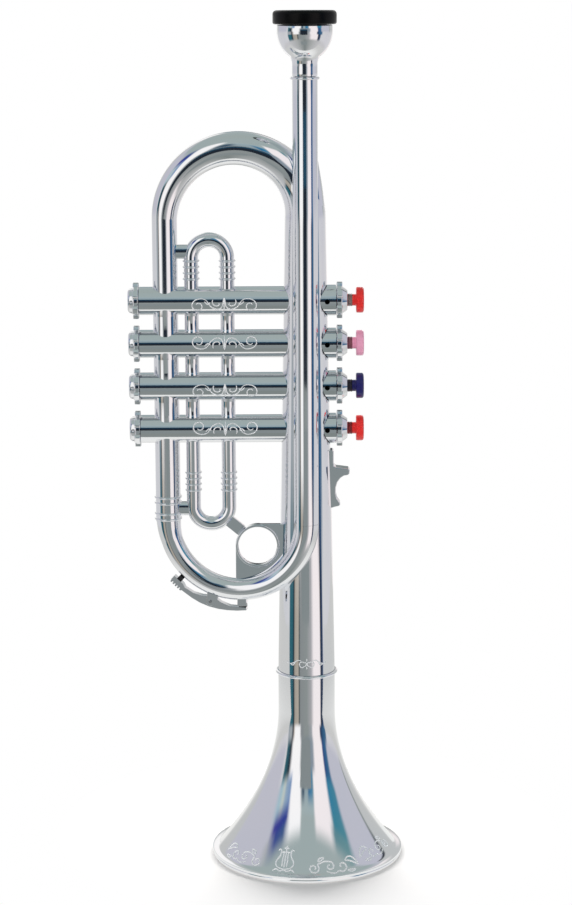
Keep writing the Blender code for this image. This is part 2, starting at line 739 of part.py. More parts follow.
def plug_mesh():
    """The rubber plug on the end of the rod. Its right face closes the port."""
    left = PLUG_RIGHT - PLUG_THICKNESS
    socket = ROD_RADIUS + GAP
    profile = [
        (left, 0),
        (left, PLUG_RADIUS),
        (PLUG_RIGHT, PLUG_RADIUS),
        (PLUG_RIGHT, socket),
        (left + PLUG_END, socket),
        (left + PLUG_END, 0),
    ]
    return turned_crosswise("plug", profile, VALVE_SIDES, closed=False)


def spring_points():
    steps = SPRING_CURLS * SPRING_CURL_POINTS
    run = SPRING_LENGTH - SPRING_WIRE
    points = []
    for i in range(steps + 1):
        angle = 2 * math.pi * i / SPRING_CURL_POINTS
        x = SPRING_LEFT + SPRING_WIRE / 2 + run * i / steps
        points.append(Vector((x, SPRING_RADIUS * math.cos(angle), SPRING_RADIUS * math.sin(angle))))
    return points


def least_gap(points):
    """The smallest distance between two curls of the spring, outside to outside."""
    apart = SPRING_CURL_POINTS // 2
    gaps = [(a - b).length for i, a in enumerate(points) for b in points[i + apart:]]
    return min(gaps) - SPRING_WIRE


def spring_curve():
    points = spring_points()
    print(f"key spring: least gap between curls {least_gap(points) * 1000:.2f} mm")
    curve = bpy.data.curves.new("key_spring", "CURVE")
    curve.dimensions = "3D"
    curve.bevel_depth = SPRING_WIRE / 2
    curve.bevel_resolution = 1
    curve.use_fill_caps = True
    spline = curve.splines.new("POLY")
    spline.points.add(len(points) - 1)
    for point, target in zip(points, spline.points):
        target.co = (*point, 1)
    return curve


def reed_holder_mesh():
    """A disc with a hole for the rod and, below it, the slot that the reed swings in."""
    outer = REED_BORE - GAP
    guide = ROD_RADIUS + GAP
    profile = [(HOLDER_LEFT, outer), (HOLDER_RIGHT, outer), (HOLDER_RIGHT, guide), (HOLDER_LEFT, guide)]
    return turned_crosswise("reed_holder", profile, VALVE_SIDES)


def box_mesh(name, low, high):
    bm = bmesh.new()
    corners = ((low.y, low.z), (high.y, low.z), (high.y, high.z), (low.y, high.z))
    near = [Vector((low.x, y, z)) for y, z in corners]
    far = [point + X_AXIS * (high.x - low.x) for point in near]
    add_skin(bm, [near, far])
    return finished(bm, name)


def slot_box(name, left, right, width, length):
    low = Vector((left, -length / 2, -SLOT_OFFSET - width / 2))
    high = Vector((right, length / 2, -SLOT_OFFSET + width / 2))
    return box_mesh(name, low, high)


def make_valves():
    meshes = {
        "valve_casing": (casing_mesh(), "chrome"),
        "bottom_cap": (bottom_cap_mesh(), "chrome"),
        "top_cap": (top_cap_mesh(), "chrome"),
        "valve_plug": (plug_mesh(), "rubber"),
        "key_spring": (spring_curve(), "steel"),
        "reed_holder": (reed_holder_mesh(), "grey"),
    }
    reed_left = HOLDER_RIGHT + GAP
    reed_right = reed_left + REED_THICKNESS
    meshes["reed"] = (slot_box("reed", reed_left, reed_right, REED_WIDTH, REED_LENGTH), "brass")
    key = key_mesh()
    slot = slot_box("slot_cutter", HOLDER_LEFT - GAP, HOLDER_RIGHT + GAP, SLOT_WIDTH, SLOT_LENGTH)
    for n, z in enumerate(VALVE_ZS):
        made = {name: place(f"{name}_{n + 1}", *parts, (0, 0, z)) for name, parts in meshes.items()}
        place(f"key_{n + 1}", key, KEY_COLOURS[n % len(KEY_COLOURS)], (0, 0, z))
        boolean(made["valve_casing"], wind_cutter)
        boolean(made["valve_casing"], vent_cutter)
        slot_cutter = cutter(f"slot_cutter_{n + 1}", slot)
        slot_cutter.location = (0, 0, z)
        boolean(made["reed_holder"], slot_cutter)


def crosswise_cutters(radius, left, right):
    bm = bmesh.new()
    for z in VALVE_ZS:
        rings = [[p + Z_AXIS * z for p in crosswise_ring(x, radius, VALVE_SIDES)] for x in (left, right)]
        add_skin(bm, rings)
    return finished(bm, "casing_cutter")


def vent_cutters():
    """Short rods that open the vent in the front of each casing."""
    bm = bmesh.new()
    for z in VALVE_ZS:
        middle = Vector((VENT_X, 0, z))
        ends = (middle, middle - Y_AXIS * (2 * CASING_RADIUS))
        add_skin(bm, [circle(end, VENT_RADIUS, X_AXIS, Z_AXIS, SLIDE_SIDES) for end in ends])
    return finished(bm, "vent_cutter")


# Braces, finger ring and finger hook


def bar_outline(z):
    """The faceted section of a brace, as (y, z) points."""
    tall, deep = BRACE_HEIGHT / 2, BRACE_DEPTH / 2
    corners = ((1, 0.5), (0.5, 1), (-0.5, 1), (-1, 0.5), (-1, -0.5), (-0.5, -1), (0.5, -1), (1, -0.5))
    return [(deep * across, z + tall * up) for up, across in corners]


def make_brace(name, z, cutters):
    rings = [[Vector((x, y, height)) for y, height in bar_outline(z)] for x in (LEG_X, SLIDE_X)]
    brace = place(name, skin_mesh(name, rings), "chrome")
    for other in cutters:
        boolean(brace, other)


def make_diagonal_brace(slide_cutter, ring_cutter):
    """A flat bar on the line from the lower slide's bend to the finger ring."""
    start, end = Vector((SLIDE_MIDDLE, 0, LOWER_SLIDE_Z)), Vector((RING_X, 0, RING_Z))
    along = (end - start).normalized()
    across = Y_AXIS.cross(along)
    start += along * SLIDE_ARC
    half = across * DIAGONAL_WIDTH / 2
    outline = [start - half, end - half, end + half, start + half]
    back = Y_AXIS * DIAGONAL_DEPTH / 2
    rings = [[point - back for point in outline], [point + back for point in outline]]
    brace = place("diagonal_brace", skin_mesh("diagonal_brace", rings), "chrome")
    boolean(brace, slide_cutter)
    boolean(brace, ring_cutter)


def make_finger_ring():
    """A plate with a round hole, filling the corner between the bell pipe and the tuning bow."""
    left, top = RING_X - RING_OUTSIDE, RING_Z + RING_OUTSIDE
    corner = arc((RING_X, RING_Z), RING_OUTSIDE, math.pi, math.pi / 2, 6)
    foot = []
    for station, _, _ in reversed(tuning_stations()[-TUNING_STEPS:-1]):
        if left < station.x < -THROAT_RADIUS / 2:
            foot.append((station.x, station.z))
    floor = TUNING_Z - TUNING_ARC
    outline = corner + [(-THROAT_RADIUS / 2, top)] + foot + [(left, floor)]
    ring = place("finger_ring", plate_mesh("finger_ring", outline, RING_THICKNESS, RING_Y), "chrome")
    boolean(ring, cutter("ring_hole", ring_rod("ring_hole", RING_HOLE)))
    boolean(ring, bell_cutter)
    boolean(ring, tuning_cutter)


def ring_rod(name, radius):
    """A rod along Y through the middle of the finger ring."""
    reach = Y_AXIS * (2 * RING_THICKNESS)
    middle = Vector((RING_X, RING_Y, RING_Z))
    return rod_mesh(name, middle - reach, middle + reach, radius, CUP_SIDES)


def make_finger_hook():
    """A plate on the bell pipe's right side with an arm, a round hollow for the finger and a small toe."""
    face = pipe_radius(HOOK_FOOT_Z) + HOOK_PLATE
    inside = PIPE_TOP_RADIUS / 2
    top = HOOK_FOOT_Z + HOOK_HEIGHT
    tip_x = face + HOOK_REACH
    arm_top = HOOK_FOOT_Z + HOOK_ARM_Z
    nose = HOOK_ARM_THICKNESS / 2
    tip = arc((tip_x - nose, arm_top - nose), nose, math.pi / 2, -math.pi / 2, 4)
    middle = (face + HOOK_CURL_RADIUS, arm_top - HOOK_ARM_THICKNESS - HOOK_CURL_RADIUS)
    hollow = arc(middle, HOOK_CURL_RADIUS, math.pi / 2, 1.25 * math.pi, 7)
    toe = [(face + HOOK_TOE, HOOK_FOOT_Z + HOOK_TOE), (face + HOOK_TOE, HOOK_FOOT_Z + HOOK_TOE / 2)]
    outline = [(inside, HOOK_FOOT_Z), (inside, top), (face, top), (face, arm_top)]
    outline += tip + hollow + toe + [(face, HOOK_FOOT_Z)]
    hook = place("finger_hook", plate_mesh("finger_hook", outline, HOOK_DEPTH), "chrome")
    boolean(hook, bell_cutter)


# Water key


def sector_arc(reach, start, end, steps):
    return [(start + (end - start) * i / steps, reach) for i in range(steps + 1)]


def cheek_sides():
    inner = LEVER_WIDTH / 2 + GAP
    return inner, inner + CHEEK_THICKNESS


def wall_reach(near_side, far_side):
    """A reach inside the bow's wall for anything that stands on it between these offsets from its plane."""
    bore = TUNING_RADIUS - WALL
    return TUNING_ARC + (math.sqrt(bore**2 - near_side**2) + math.sqrt(TUNING_RADIUS**2 - far_side**2)) / 2


def water_key_seat():
    """The two cheeks that hold the pin and the nipple that the cork closes, all part of the bow."""
    bm = bmesh.new()
    inner, outer = cheek_sides()
    root_reach = wall_reach(inner, outer)
    tip_reach = TUNING_OUTSIDE + PIVOT_DROP + BOSS_RADIUS
    start, end = PIVOT_ANGLE - CHEEK_HALF_ANGLE, PIVOT_ANGLE + CHEEK_HALF_ANGLE
    outline = [(start, root_reach), (end, root_reach), (PIVOT_ANGLE + CHEEK_HALF_ANGLE / 2, tip_reach)]
    outline.append((PIVOT_ANGLE - CHEEK_HALF_ANGLE / 2, tip_reach))
    for sides in ((inner, outer), (-outer, -inner)):
        add_skin(bm, bow_sector(outline, *sides))
    foot = bow_point(NIPPLE_ANGLE, wall_reach(0, NIPPLE_RADIUS))
    tip = bow_point(NIPPLE_ANGLE, TUNING_OUTSIDE + NIPPLE_HEIGHT)
    up = (tip - foot).normalized().cross(SWING_NORMAL)
    add_skin(bm, [circle(p, NIPPLE_RADIUS, SWING_NORMAL, up, SLIDE_SIDES) for p in (foot, tip)])
    return cutter("water_key_seat", finished(bm, "water_key_seat"))


def drain_mesh():
    """The pin's hole through the cheeks and the drain through the nipple."""
    bm = bmesh.new()
    reach = cheek_sides()[1] + PIN_PROUD
    pivot = TUNING_OUTSIDE + PIVOT_DROP
    pin_ends = [bow_point(PIVOT_ANGLE, pivot, side) for side in (-reach, reach)]
    drain_reach = (TUNING_ARC, TUNING_OUTSIDE + 2 * NIPPLE_HEIGHT)
    drain_ends = [bow_point(NIPPLE_ANGLE, end) for end in drain_reach]
    for ends, radius in ((pin_ends, PIN_RADIUS + GAP), (drain_ends, DRAIN_RADIUS)):
        along = (ends[1] - ends[0]).normalized()
        across = along.orthogonal().normalized()
        add_skin(bm, [circle(p, radius, across, along.cross(across), SLIDE_SIDES) for p in ends])
    return finished(bm, "drain_cutter")


def make_water_key():
    pivot_reach = TUNING_OUTSIDE + PIVOT_DROP
    pivot = bow_point(PIVOT_ANGLE, pivot_reach)
    inner = TUNING_OUTSIDE + LEVER_DROP
    outer = inner + LEVER_THICKNESS
    pad = TUNING_OUTSIDE + PAD_DROP
    boss = BOSS_RADIUS / pivot_reach
    boss_top = pivot_reach - BOSS_RADIUS
    outline = sector_arc(outer, LEVER_TIP_ANGLE, PAD_END_ANGLE, 12)
    outline += [(PAD_END_ANGLE, pad), (PAD_START_ANGLE, pad)]
    outline += sector_arc(inner, PAD_START_ANGLE, PIVOT_ANGLE + 2 * boss, 4)
    outline += [(PIVOT_ANGLE + boss / 2, boss_top), (PIVOT_ANGLE - boss / 2, boss_top)]
    outline += sector_arc(inner, PIVOT_ANGLE - 2 * boss, LEVER_TIP_ANGLE, 4)
    half = LEVER_WIDTH / 2
    lever_mesh = skin_mesh("water_key", moved_to(bow_sector(outline, -half, half), pivot))
    lever = place("water_key", lever_mesh, "chrome", pivot, SWING)
    pin_reach = cheek_sides()[1] + PIN_PROUD
    ends = [bow_point(PIVOT_ANGLE, pivot_reach, side) for side in (-pin_reach, pin_reach)]
    hole = cutter("water_key_hole", rod_mesh("water_key_hole", *ends, PIN_RADIUS + GAP, SLIDE_SIDES))
    boolean(lever, hole)
    place("water_key_pin", rod_mesh("water_key_pin", *ends, PIN_RADIUS, SLIDE_SIDES), "steel")

    cork_ends = [
        bow_point(NIPPLE_ANGLE, TUNING_OUTSIDE + NIPPLE_HEIGHT + GAP),
        bow_point(NIPPLE_ANGLE, inner - GAP),
    ]
    place("water_key_cork", rod_mesh("water_key_cork", *cork_ends, CORK_RADIUS, SLIDE_SIDES), "cork")
    outline = sector_arc(TUNING_OUTSIDE + GAP, BLOCK_START_ANGLE, BLOCK_END_ANGLE, 2)
    outline += sector_arc(pad - GAP, BLOCK_END_ANGLE, BLOCK_START_ANGLE, 2)
    block = bow_sector(outline, -BLOCK_WIDTH / 2, BLOCK_WIDTH / 2)
    place("water_key_block", skin_mesh("water_key_block", block), "rubber")


clear_scene()
root = bpy.data.objects.new("trumpet", None)
bpy.context.scene.collection.objects.link(root)
root.location.x = ORIGIN_X
bpy.context.view_layer.update()

casing_cutter = cutter("casing_cutter", crosswise_cutters(CASING_RADIUS + GAP, LEG_X / 2, CASING_RIGHT))
wind_top = Vector((LEG_X, 0, VALVE_ZS[0] + 2 * CASING_RADIUS))
wind_foot = Vector((LEG_X, 0, VALVE_ZS[-1] - 2 * CASING_RADIUS))
wind_cutter = cutter("wind_cutter", rod_mesh("wind_cutter", wind_foot, wind_top, WIND_RADIUS, SLIDE_SIDES))
vent_cutter = cutter("vent_cutter", vent_cutters())
bell_cutter = cutter("bell_cutter", skin_mesh("bell_cutter", swept(bell_line(GAP), Y_AXIS, PIPE_SIDES)))
tuning_line = grown([at_leg(LEG_X, VALVE_ZS[-1], -Z_AXIS, LEG_RADIUS)] + tuning_stations())
tuning_rings = swept(tuning_line, SWING_NORMAL, TUBE_SIDES)
tuning_cutter = cutter("tuning_cutter", skin_mesh("tuning_cutter", tuning_rings))

make_bell()
make_bell_pipe()
make_bell_bow()
make_leadpipe()
make_tuning_bow()
make_links()
slide_cutters = make_slides()
make_mouthpiece()
make_valves()
make_brace("upper_brace", UPPER_SLIDE_Z + UPPER_BRACE_RAISE, (bell_cutter, slide_cutters["upper_slide"]))
make_brace("lower_brace", LOWER_SLIDE_Z - LOWER_BRACE_DROP, (tuning_cutter, slide_cutters["lower_slide"]))
ring_edge = cutter("ring_edge", ring_rod("ring_edge", RING_OUTSIDE + GAP))
make_diagonal_brace(slide_cutters["lower_slide"], ring_edge)
make_finger_ring()
make_finger_hook()
make_water_key()
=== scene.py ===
# %% [markdown]
# # A toy trumpet in chrome plate
#
# The trumpet stands on its bell with the mouthpiece up. Its tubes, casings and fittings are moulded plastic
# with a mirror plating, so the lesson is about two things: clean round shapes that reflect well, and a
# studio that gives them something to reflect.

# %% Load the frame
import math

import bpy
from mathutils import Matrix, Vector


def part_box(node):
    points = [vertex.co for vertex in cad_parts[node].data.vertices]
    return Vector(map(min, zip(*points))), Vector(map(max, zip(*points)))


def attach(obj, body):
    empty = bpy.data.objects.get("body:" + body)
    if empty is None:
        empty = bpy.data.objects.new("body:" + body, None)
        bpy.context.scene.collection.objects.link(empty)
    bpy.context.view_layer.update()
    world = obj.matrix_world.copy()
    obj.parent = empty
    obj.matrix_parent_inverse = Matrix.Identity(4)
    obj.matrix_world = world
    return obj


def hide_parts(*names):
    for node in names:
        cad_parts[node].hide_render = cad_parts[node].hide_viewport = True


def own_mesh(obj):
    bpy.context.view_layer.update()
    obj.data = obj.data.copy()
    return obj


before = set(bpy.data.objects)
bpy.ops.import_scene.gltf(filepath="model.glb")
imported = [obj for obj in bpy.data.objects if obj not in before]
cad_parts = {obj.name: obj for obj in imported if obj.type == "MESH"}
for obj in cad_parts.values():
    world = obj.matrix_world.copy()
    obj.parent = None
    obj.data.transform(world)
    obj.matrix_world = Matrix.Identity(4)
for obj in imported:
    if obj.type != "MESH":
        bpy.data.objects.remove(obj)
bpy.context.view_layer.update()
low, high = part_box("bell")
BELL_X = (low.x + high.x) / 2
MM = 0.001
print(f"bell axis at x = {BELL_X:.4f} m, {len(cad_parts)} nodes loaded")

# %% [markdown]
# ## The camera
#
# The picture was taken from a little above the middle of the trumpet, with a long lens, so the tubes hardly
# converge. A long lens on a distant camera is the honest way to get that look. The camera was held with a
# very slight roll.

# %% Camera
FOCAL_PIXELS, PICTURE_HEIGHT = 2363.5, 905
CAMERA_PLACE = (BELL_X - 0.0098, -1.143, 0.430)
LOOKING_DOWN, ROLL = 11.1, -0.27
camera_data = bpy.data.cameras.new("studio_camera")
camera_data.sensor_fit = "VERTICAL"
camera_data.sensor_height = 36.0
camera_data.lens = FOCAL_PIXELS * camera_data.sensor_height / PICTURE_HEIGHT
camera_data.clip_start = 0.05
camera = bpy.data.objects.new("studio_camera", camera_data)
bpy.context.scene.collection.objects.link(camera)
tilt = Matrix.Rotation(math.radians(90 - LOOKING_DOWN), 4, "X")
roll = Matrix.Rotation(math.radians(ROLL), 4, "Z")
camera.matrix_world = Matrix.Translation(CAMERA_PLACE) @ (tilt @ roll)
bpy.context.scene.camera = camera
bpy.context.scene.view_settings.view_transform = "Standard"
print(f"lens {camera_data.lens:.1f} mm, looking down by {LOOKING_DOWN} degrees")

# %% [markdown]
# ## Selecting and tracing
#
# Blender's operators act on whatever is selected, so each step starts by clearing the selection. An outline
# is then traced as by hand: one vertex, extruded from point to point.

# %% Selecting and tracing
MERGE_DISTANCE = 2e-6


def nothing_selected():
    """Goes to object mode and drops the selection."""
    if bpy.context.object and bpy.context.object.mode != "OBJECT":
        bpy.ops.object.mode_set(mode="OBJECT")
    bpy.ops.object.select_all(action="DESELECT")


def make_active(obj):
    """Makes one object the only selected and the active one."""
    nothing_selected()
    obj.select_set(True)
    bpy.context.view_layer.objects.active = obj


def traced(name, points):
    """A line of edges through points, made by extruding a single vertex, left in edit mode."""
    nothing_selected()
    bpy.ops.mesh.primitive_circle_add(vertices=3, radius=MM, location=(0, 0, 0))
    obj = bpy.context.object
    obj.name = name
    bpy.ops.object.mode_set(mode="EDIT")
    bpy.ops.mesh.merge(type="CENTER")
    bpy.ops.transform.translate(value=points[0])
    for start, end in zip(points, points[1:]):
        bpy.ops.mesh.extrude_region_move(TRANSFORM_OT_translate={"value": end - start})
    bpy.ops.mesh.select_all(action="SELECT")
    return obj


def tidied(obj):
    """Merges doubles, turns faces out and leaves edit mode."""
    bpy.ops.mesh.select_all(action="SELECT")
    bpy.ops.mesh.remove_doubles(threshold=MERGE_DISTANCE)
    bpy.ops.mesh.normals_make_consistent(inside=False)
    bpy.ops.object.mode_set(mode="OBJECT")
    return obj


# %% [markdown]
# ## Lathe, tube and plate
#
# Almost every piece here is either turned on a lathe, bent from a tube or cut from a plate. Three helpers
# do these with the same operators that one would use by hand: extrude a point and spin it, bevel a curve,
# or fill an outline and extrude it.

# %% Lathe, tube and plate
def turned(name, profile, centre, axis="Z", steps=96):
    """Spins (radius, height) points, in millimetres, about an axis through centre."""
    along = Vector((0, 0, 1)) if axis == "Z" else Vector((1, 0, 0))
    out = Vector((1, 0, 0)) if axis == "Z" else Vector((0, 0, 1))
    points = [Vector(centre) + (out * r + along * h) * MM for r, h in profile]
    obj = traced(name, points)
    bpy.ops.mesh.spin(steps=steps, angle=2 * math.pi, center=centre, axis=along)
    return tidied(obj)


def tube(name, points, radii, sides=40, caps=True):
    """A tube along points in metres, with a radius in metres at each."""
    nothing_selected()
    bpy.ops.curve.primitive_nurbs_path_add(location=(0, 0, 0))
    obj = bpy.context.object
    obj.name = name
    curve = obj.data
    curve.splines.clear()
    curve.dimensions = "3D"
    curve.bevel_depth = 1.0
    curve.bevel_resolution = sides // 2 - 2
    curve.use_fill_caps = caps
    spline = curve.splines.new("POLY")
    spline.points.add(len(points) - 1)
    for target, point, radius in zip(spline.points, points, radii):
        target.co = (*point, 1)
        target.radius = radius
    bpy.ops.object.convert(target="MESH")
    bpy.ops.object.mode_set(mode="EDIT")
    return tidied(bpy.context.object)


def plate(name, outline, depth):
    """A closed outline of points, filled and extruded by the vector depth."""
    obj = traced(name, outline + outline[:1])
    bpy.ops.mesh.remove_doubles(threshold=MERGE_DISTANCE)
    bpy.ops.mesh.edge_face_add()
    bpy.ops.mesh.extrude_region_move(TRANSFORM_OT_translate={"value": depth})
    return tidied(obj)


# %% [markdown]
# ## Holes, rounded edges and joins
#
# Mouldings have holes, soft edges and parts that run into each other. Boolean, bevel and join give all
# three. They are applied at once, because a plain mesh is easier to check and to export than a stack of
# modifiers.

# %% Finishing a shape
def modified(obj, kind, **settings):
    """Adds a modifier and applies it."""
    make_active(obj)
    modifier = obj.modifiers.new(kind.lower(), kind)
    for key, value in settings.items():
        setattr(modifier, key, value)
    bpy.ops.object.modifier_apply(modifier=modifier.name)
    return obj


def cut(obj, cutter):
    """Takes a cutter's shape out of a piece and deletes the cutter."""
    modified(obj, "BOOLEAN", object=cutter, operation="DIFFERENCE", solver="EXACT")
    bpy.data.objects.remove(cutter, do_unlink=True)
    return obj


def rounded(obj, width_mm, segments=3, angle=40):
    """Bevels the edges that are sharper than an angle in degrees."""
    return modified(obj, "BEVEL", width=width_mm * MM, segments=segments, limit_method="ANGLE",
                    angle_limit=math.radians(angle), harden_normals=False)


def joined(obj, *others):
    """Joins other objects into the first."""
    make_active(obj)
    for other in others:
        other.select_set(True)
    bpy.ops.object.join()
    return bpy.context.object


def picked(obj, test):
    """Enters edit mode with only the vertices selected that pass a test of their place."""
    make_active(obj)
    for part in (obj.data.polygons, obj.data.edges):
        for item in part:
            item.select = False
    for vertex in obj.data.vertices:
        vertex.select = test(vertex.co)
    bpy.ops.object.mode_set(mode="EDIT")
    bpy.ops.mesh.select_mode(type="VERT")


# %% [markdown]
# ## Copies, places and bodies
#
# Four valves look alike, so their pieces are modelled once and copied, each with a mesh of its own. A
# finished piece gets its material and smooth shading, and is told which body of the trumpet it moves with.

# %% Copies and bodies
BODY = "trumpet_body"


def copied(obj, shift):
    """A copy with a mesh of its own, moved by a vector."""
    twin = obj.copy()
    twin.data = obj.data.copy()
    twin.data.transform(Matrix.Translation(shift))
    bpy.context.scene.collection.objects.link(twin)
    return twin


def repeated(first, count, step):
    """The first piece and its copies, each one step further, before any of them is dressed."""
    return [first] + [copied(first, step * number) for number in range(1, count)]


def arc(centre, radius, start, end, steps):
    """Points of a flat arc, with angles in degrees."""
    angles = [math.radians(start + (end - start) * i / steps) for i in range(steps + 1)]
    return [(centre[0] + radius * math.cos(a), centre[1] + radius * math.sin(a)) for a in angles]


def at(x, y, z):
    """A point from millimetres measured from the bell's axis and the floor."""
    return Vector((BELL_X + x * MM, y * MM, z * MM))


def dressed(obj, material, nodes=(), body=BODY, angle=35, flat=False):
    """Gives a finished piece its material, smooth shading, body and the nodes that it stands for."""
    make_active(obj)
    bpy.ops.object.shade_smooth_by_angle(angle=math.radians(angle))
    if flat:
        modified(obj, "WEIGHTED_NORMAL", keep_sharp=True, weight=80)
    obj.data.materials.clear()
    obj.data.materials.append(material)
    obj.name = f"shown_{nodes[0]}" if nodes else obj.name
    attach(obj, body)
    if nodes:
        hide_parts(*nodes)
    return obj


# %% [markdown]
# ## Building blocks of a finish
#
# A real surface is never one flat colour. A few small helpers add noise, spread it over a range, mix two
# tones with it and turn it into a bump. They work on Object coordinates, so a pattern stays on its piece.

# %% Material helpers
def srgb(*channels):
    """A colour from values of 0 to 255, as the shader wants it."""
    values = [c / 255 for c in channels]
    return [v / 12.92 if v <= 0.04045 else ((v + 0.055) / 1.055) ** 2.4 for v in values]


def new_material(name, colour, metallic, roughness):
    """A new material with its nodes, links and main shader."""
    material = bpy.data.materials.new(name)
    material.use_nodes = True
    shader = material.node_tree.nodes["Principled BSDF"]
    shader.inputs["Base Color"].default_value = (*colour, 1)
    shader.inputs["Metallic"].default_value = metallic
    shader.inputs["Roughness"].default_value = roughness
    return material, material.node_tree.nodes, material.node_tree.links, shader


def noise(nodes, links, scale, detail=3.0, stretch=(1, 1, 1)):
    """A noise texture on Object coordinates, with a mapping that can stretch it."""
    coordinates = nodes.new("ShaderNodeTexCoord")
    mapping = nodes.new("ShaderNodeMapping")
    mapping.inputs["Scale"].default_value = stretch
    texture = nodes.new("ShaderNodeTexNoise")
    texture.inputs["Scale"].default_value = scale
    texture.inputs["Detail"].default_value = detail
    links.new(coordinates.outputs["Object"], mapping.inputs["Vector"])
    links.new(mapping.outputs["Vector"], texture.inputs["Vector"])
    return texture


def ranged(nodes, links, source, low_value, high_value, start=0.3, end=0.7):
    """Maps a texture's value to a range."""
    node = nodes.new("ShaderNodeMapRange")
    node.inputs["From Min"].default_value = start
    node.inputs["From Max"].default_value = end
    node.inputs["To Min"].default_value = low_value
    node.inputs["To Max"].default_value = high_value
    links.new(source, node.inputs["Value"])
    return node.outputs["Result"]


def mixed(nodes, links, factor, first, second):
    """A colour between two, by a factor from a texture."""
    node = nodes.new("ShaderNodeMix")
    node.data_type = "RGBA"
    links.new(factor, node.inputs["Factor"])
    node.inputs["A"].default_value = (*first, 1)
    node.inputs["B"].default_value = (*second, 1)
    return node.outputs["Result"]


def bumped(nodes, links, height, strength, distance, under=None):
    """A bump from a texture, on top of another one if given."""
    node = nodes.new("ShaderNodeBump")
    node.inputs["Strength"].default_value = strength
    node.inputs["Distance"].default_value = distance
    links.new(height, node.inputs["Height"])
    if under is not None:
        links.new(under, node.inputs["Normal"])
    return node.outputs["Normal"]


def varied(nodes, links, socket, texture, value, less, more):
    """Lets a socket's value change with a texture, between two multiples of it."""
    links.new(ranged(nodes, links, texture.outputs["Fac"], value * less, value * more), socket)


def toned(nodes, links, socket, texture, first, second):
    """Lets a socket's colour change with a texture, from one tone to another."""
    factor = ranged(nodes, links, texture.outputs["Fac"], 0, 1)
    links.new(mixed(nodes, links, factor, first, second), socket)


# %% [markdown]
# ## Chrome plate
#
# Plated plastic is a mirror, but never a perfect one: the plating follows a faint ripple of the moulding,
# handling leaves a haze, and tiny scratches run everywhere. A metal shader with a slightly uneven roughness
# and two very small bumps shows all of that without losing the mirror. The scrolls are duller, because
# their relief scatters the light.

# %% Chrome plate
def chrome_plate(name, roughness, tone, ripple):
    """Mirror plating with a haze, a faint change of tone, a ripple and fine upright scratches."""
    material, nodes, links, shader = new_material(name, tone, 1.0, roughness)
    haze = noise(nodes, links, 60, 4)
    varied(nodes, links, shader.inputs["Roughness"], haze, roughness, 0.7, 1.5)
    tint = noise(nodes, links, 25, 2)
    cool = [c * f for c, f in zip(tone, (0.96, 0.985, 1.0))]
    toned(nodes, links, shader.inputs["Base Color"], tint, tone, cool)
    waves = noise(nodes, links, 90, 1)
    scratches = noise(nodes, links, 900, 2, (1, 1, 0.04))
    soft = bumped(nodes, links, waves.outputs["Fac"], ripple, 0.0002)
    links.new(bumped(nodes, links, scratches.outputs["Fac"], 0.03, 0.00004, soft), shader.inputs["Normal"])
    return material


chrome = chrome_plate("chrome_plate", 0.06, (0.84, 0.84, 0.86), 0.05)
satin_chrome = chrome_plate("satin_relief", 0.38, (0.97, 0.97, 0.97), 0.10)
satin_chrome.node_tree.nodes["Principled BSDF"].inputs["Metallic"].default_value = 0.35
print("chrome plate and its duller relief are ready")

# %% [markdown]
# ## Plastics, rubber and bare metal
#
# The keys and the lip rim are plain moulded plastic, and a few hidden pieces are rubber, steel or brass.
# Moulded plastic has a gloss that changes a little from place to place and a fine grain. Drawn metal has
# lines along the way it was drawn. One function for each is enough, with a colour and a roughness.

# %% Plastics and metals
def moulded(name, colour, roughness, grain):
    """Moulded plastic: a faint change of tone, an uneven gloss and a fine grain."""
    material, nodes, links, shader = new_material(name, colour, 0.0, roughness)
    tone = noise(nodes, links, 40, 3)
    darker = [c * 0.88 for c in colour]
    toned(nodes, links, shader.inputs["Base Color"], tone, colour, darker)
    gloss = noise(nodes, links, 220, 3)
    varied(nodes, links, shader.inputs["Roughness"], gloss, roughness, 0.8, 1.3)
    pores = noise(nodes, links, 1400, 3)
    links.new(bumped(nodes, links, pores.outputs["Fac"], grain, 0.00008), shader.inputs["Normal"])
    return material


def metal(name, colour, roughness, stretch):
    """Drawn or rolled metal: fine lines along one direction."""
    material, nodes, links, shader = new_material(name, colour, 1.0, roughness)
    lines = noise(nodes, links, 700, 3, stretch)
    varied(nodes, links, shader.inputs["Roughness"], lines, roughness, 0.7, 1.4)
    links.new(bumped(nodes, links, lines.outputs["Fac"], 0.15, 0.00005), shader.inputs["Normal"])
    return material


black_plastic = moulded("black_lip_plastic", srgb(7, 7, 8), 0.3, 0.08)
black_plastic.node_tree.nodes["Principled BSDF"].inputs["Specular IOR Level"].default_value = 0.12
key_plastics = {
    "red_plastic": moulded("red_key_plastic", srgb(250, 50, 46), 0.28, 0.08),
    "pink_plastic": moulded("pink_key_plastic", srgb(255, 176, 207), 0.28, 0.08),
    "blue_plastic": moulded("blue_key_plastic", srgb(28, 24, 97), 0.28, 0.08),
}
soft_rubber = moulded("soft_rubber", srgb(28, 28, 30), 0.7, 0.3)
grey_plastic = moulded("grey_holder_plastic", srgb(150, 152, 156), 0.5, 0.2)
# The stem sleeves: a dark tone for each key, painted shade of the stem between button and cap.
painted_shade_sleeves = [
    moulded("first_sleeve_plastic", srgb(132, 120, 116), 0.4, 0.2),
    moulded("second_sleeve_plastic", srgb(130, 78, 90), 0.4, 0.2),
    moulded("third_sleeve_plastic", srgb(14, 12, 30), 0.4, 0.2),
    moulded("fourth_sleeve_plastic", srgb(122, 30, 32), 0.4, 0.2),
]
spring_steel = metal("spring_steel", srgb(172, 174, 178), 0.28, (0.05, 1, 1))
reed_brass = metal("reed_brass", srgb(205, 165, 88), 0.26, (1, 0.05, 1))
print(f"{len(bpy.data.materials)} materials ready")

# %% [markdown]
# ## The inner pieces
#
# Plugs, reeds and their holders sit inside the casings, and the water key's pin and cork are only a few
# millimetres across. Their solids already have the right shape, so they keep it and only get a finish.

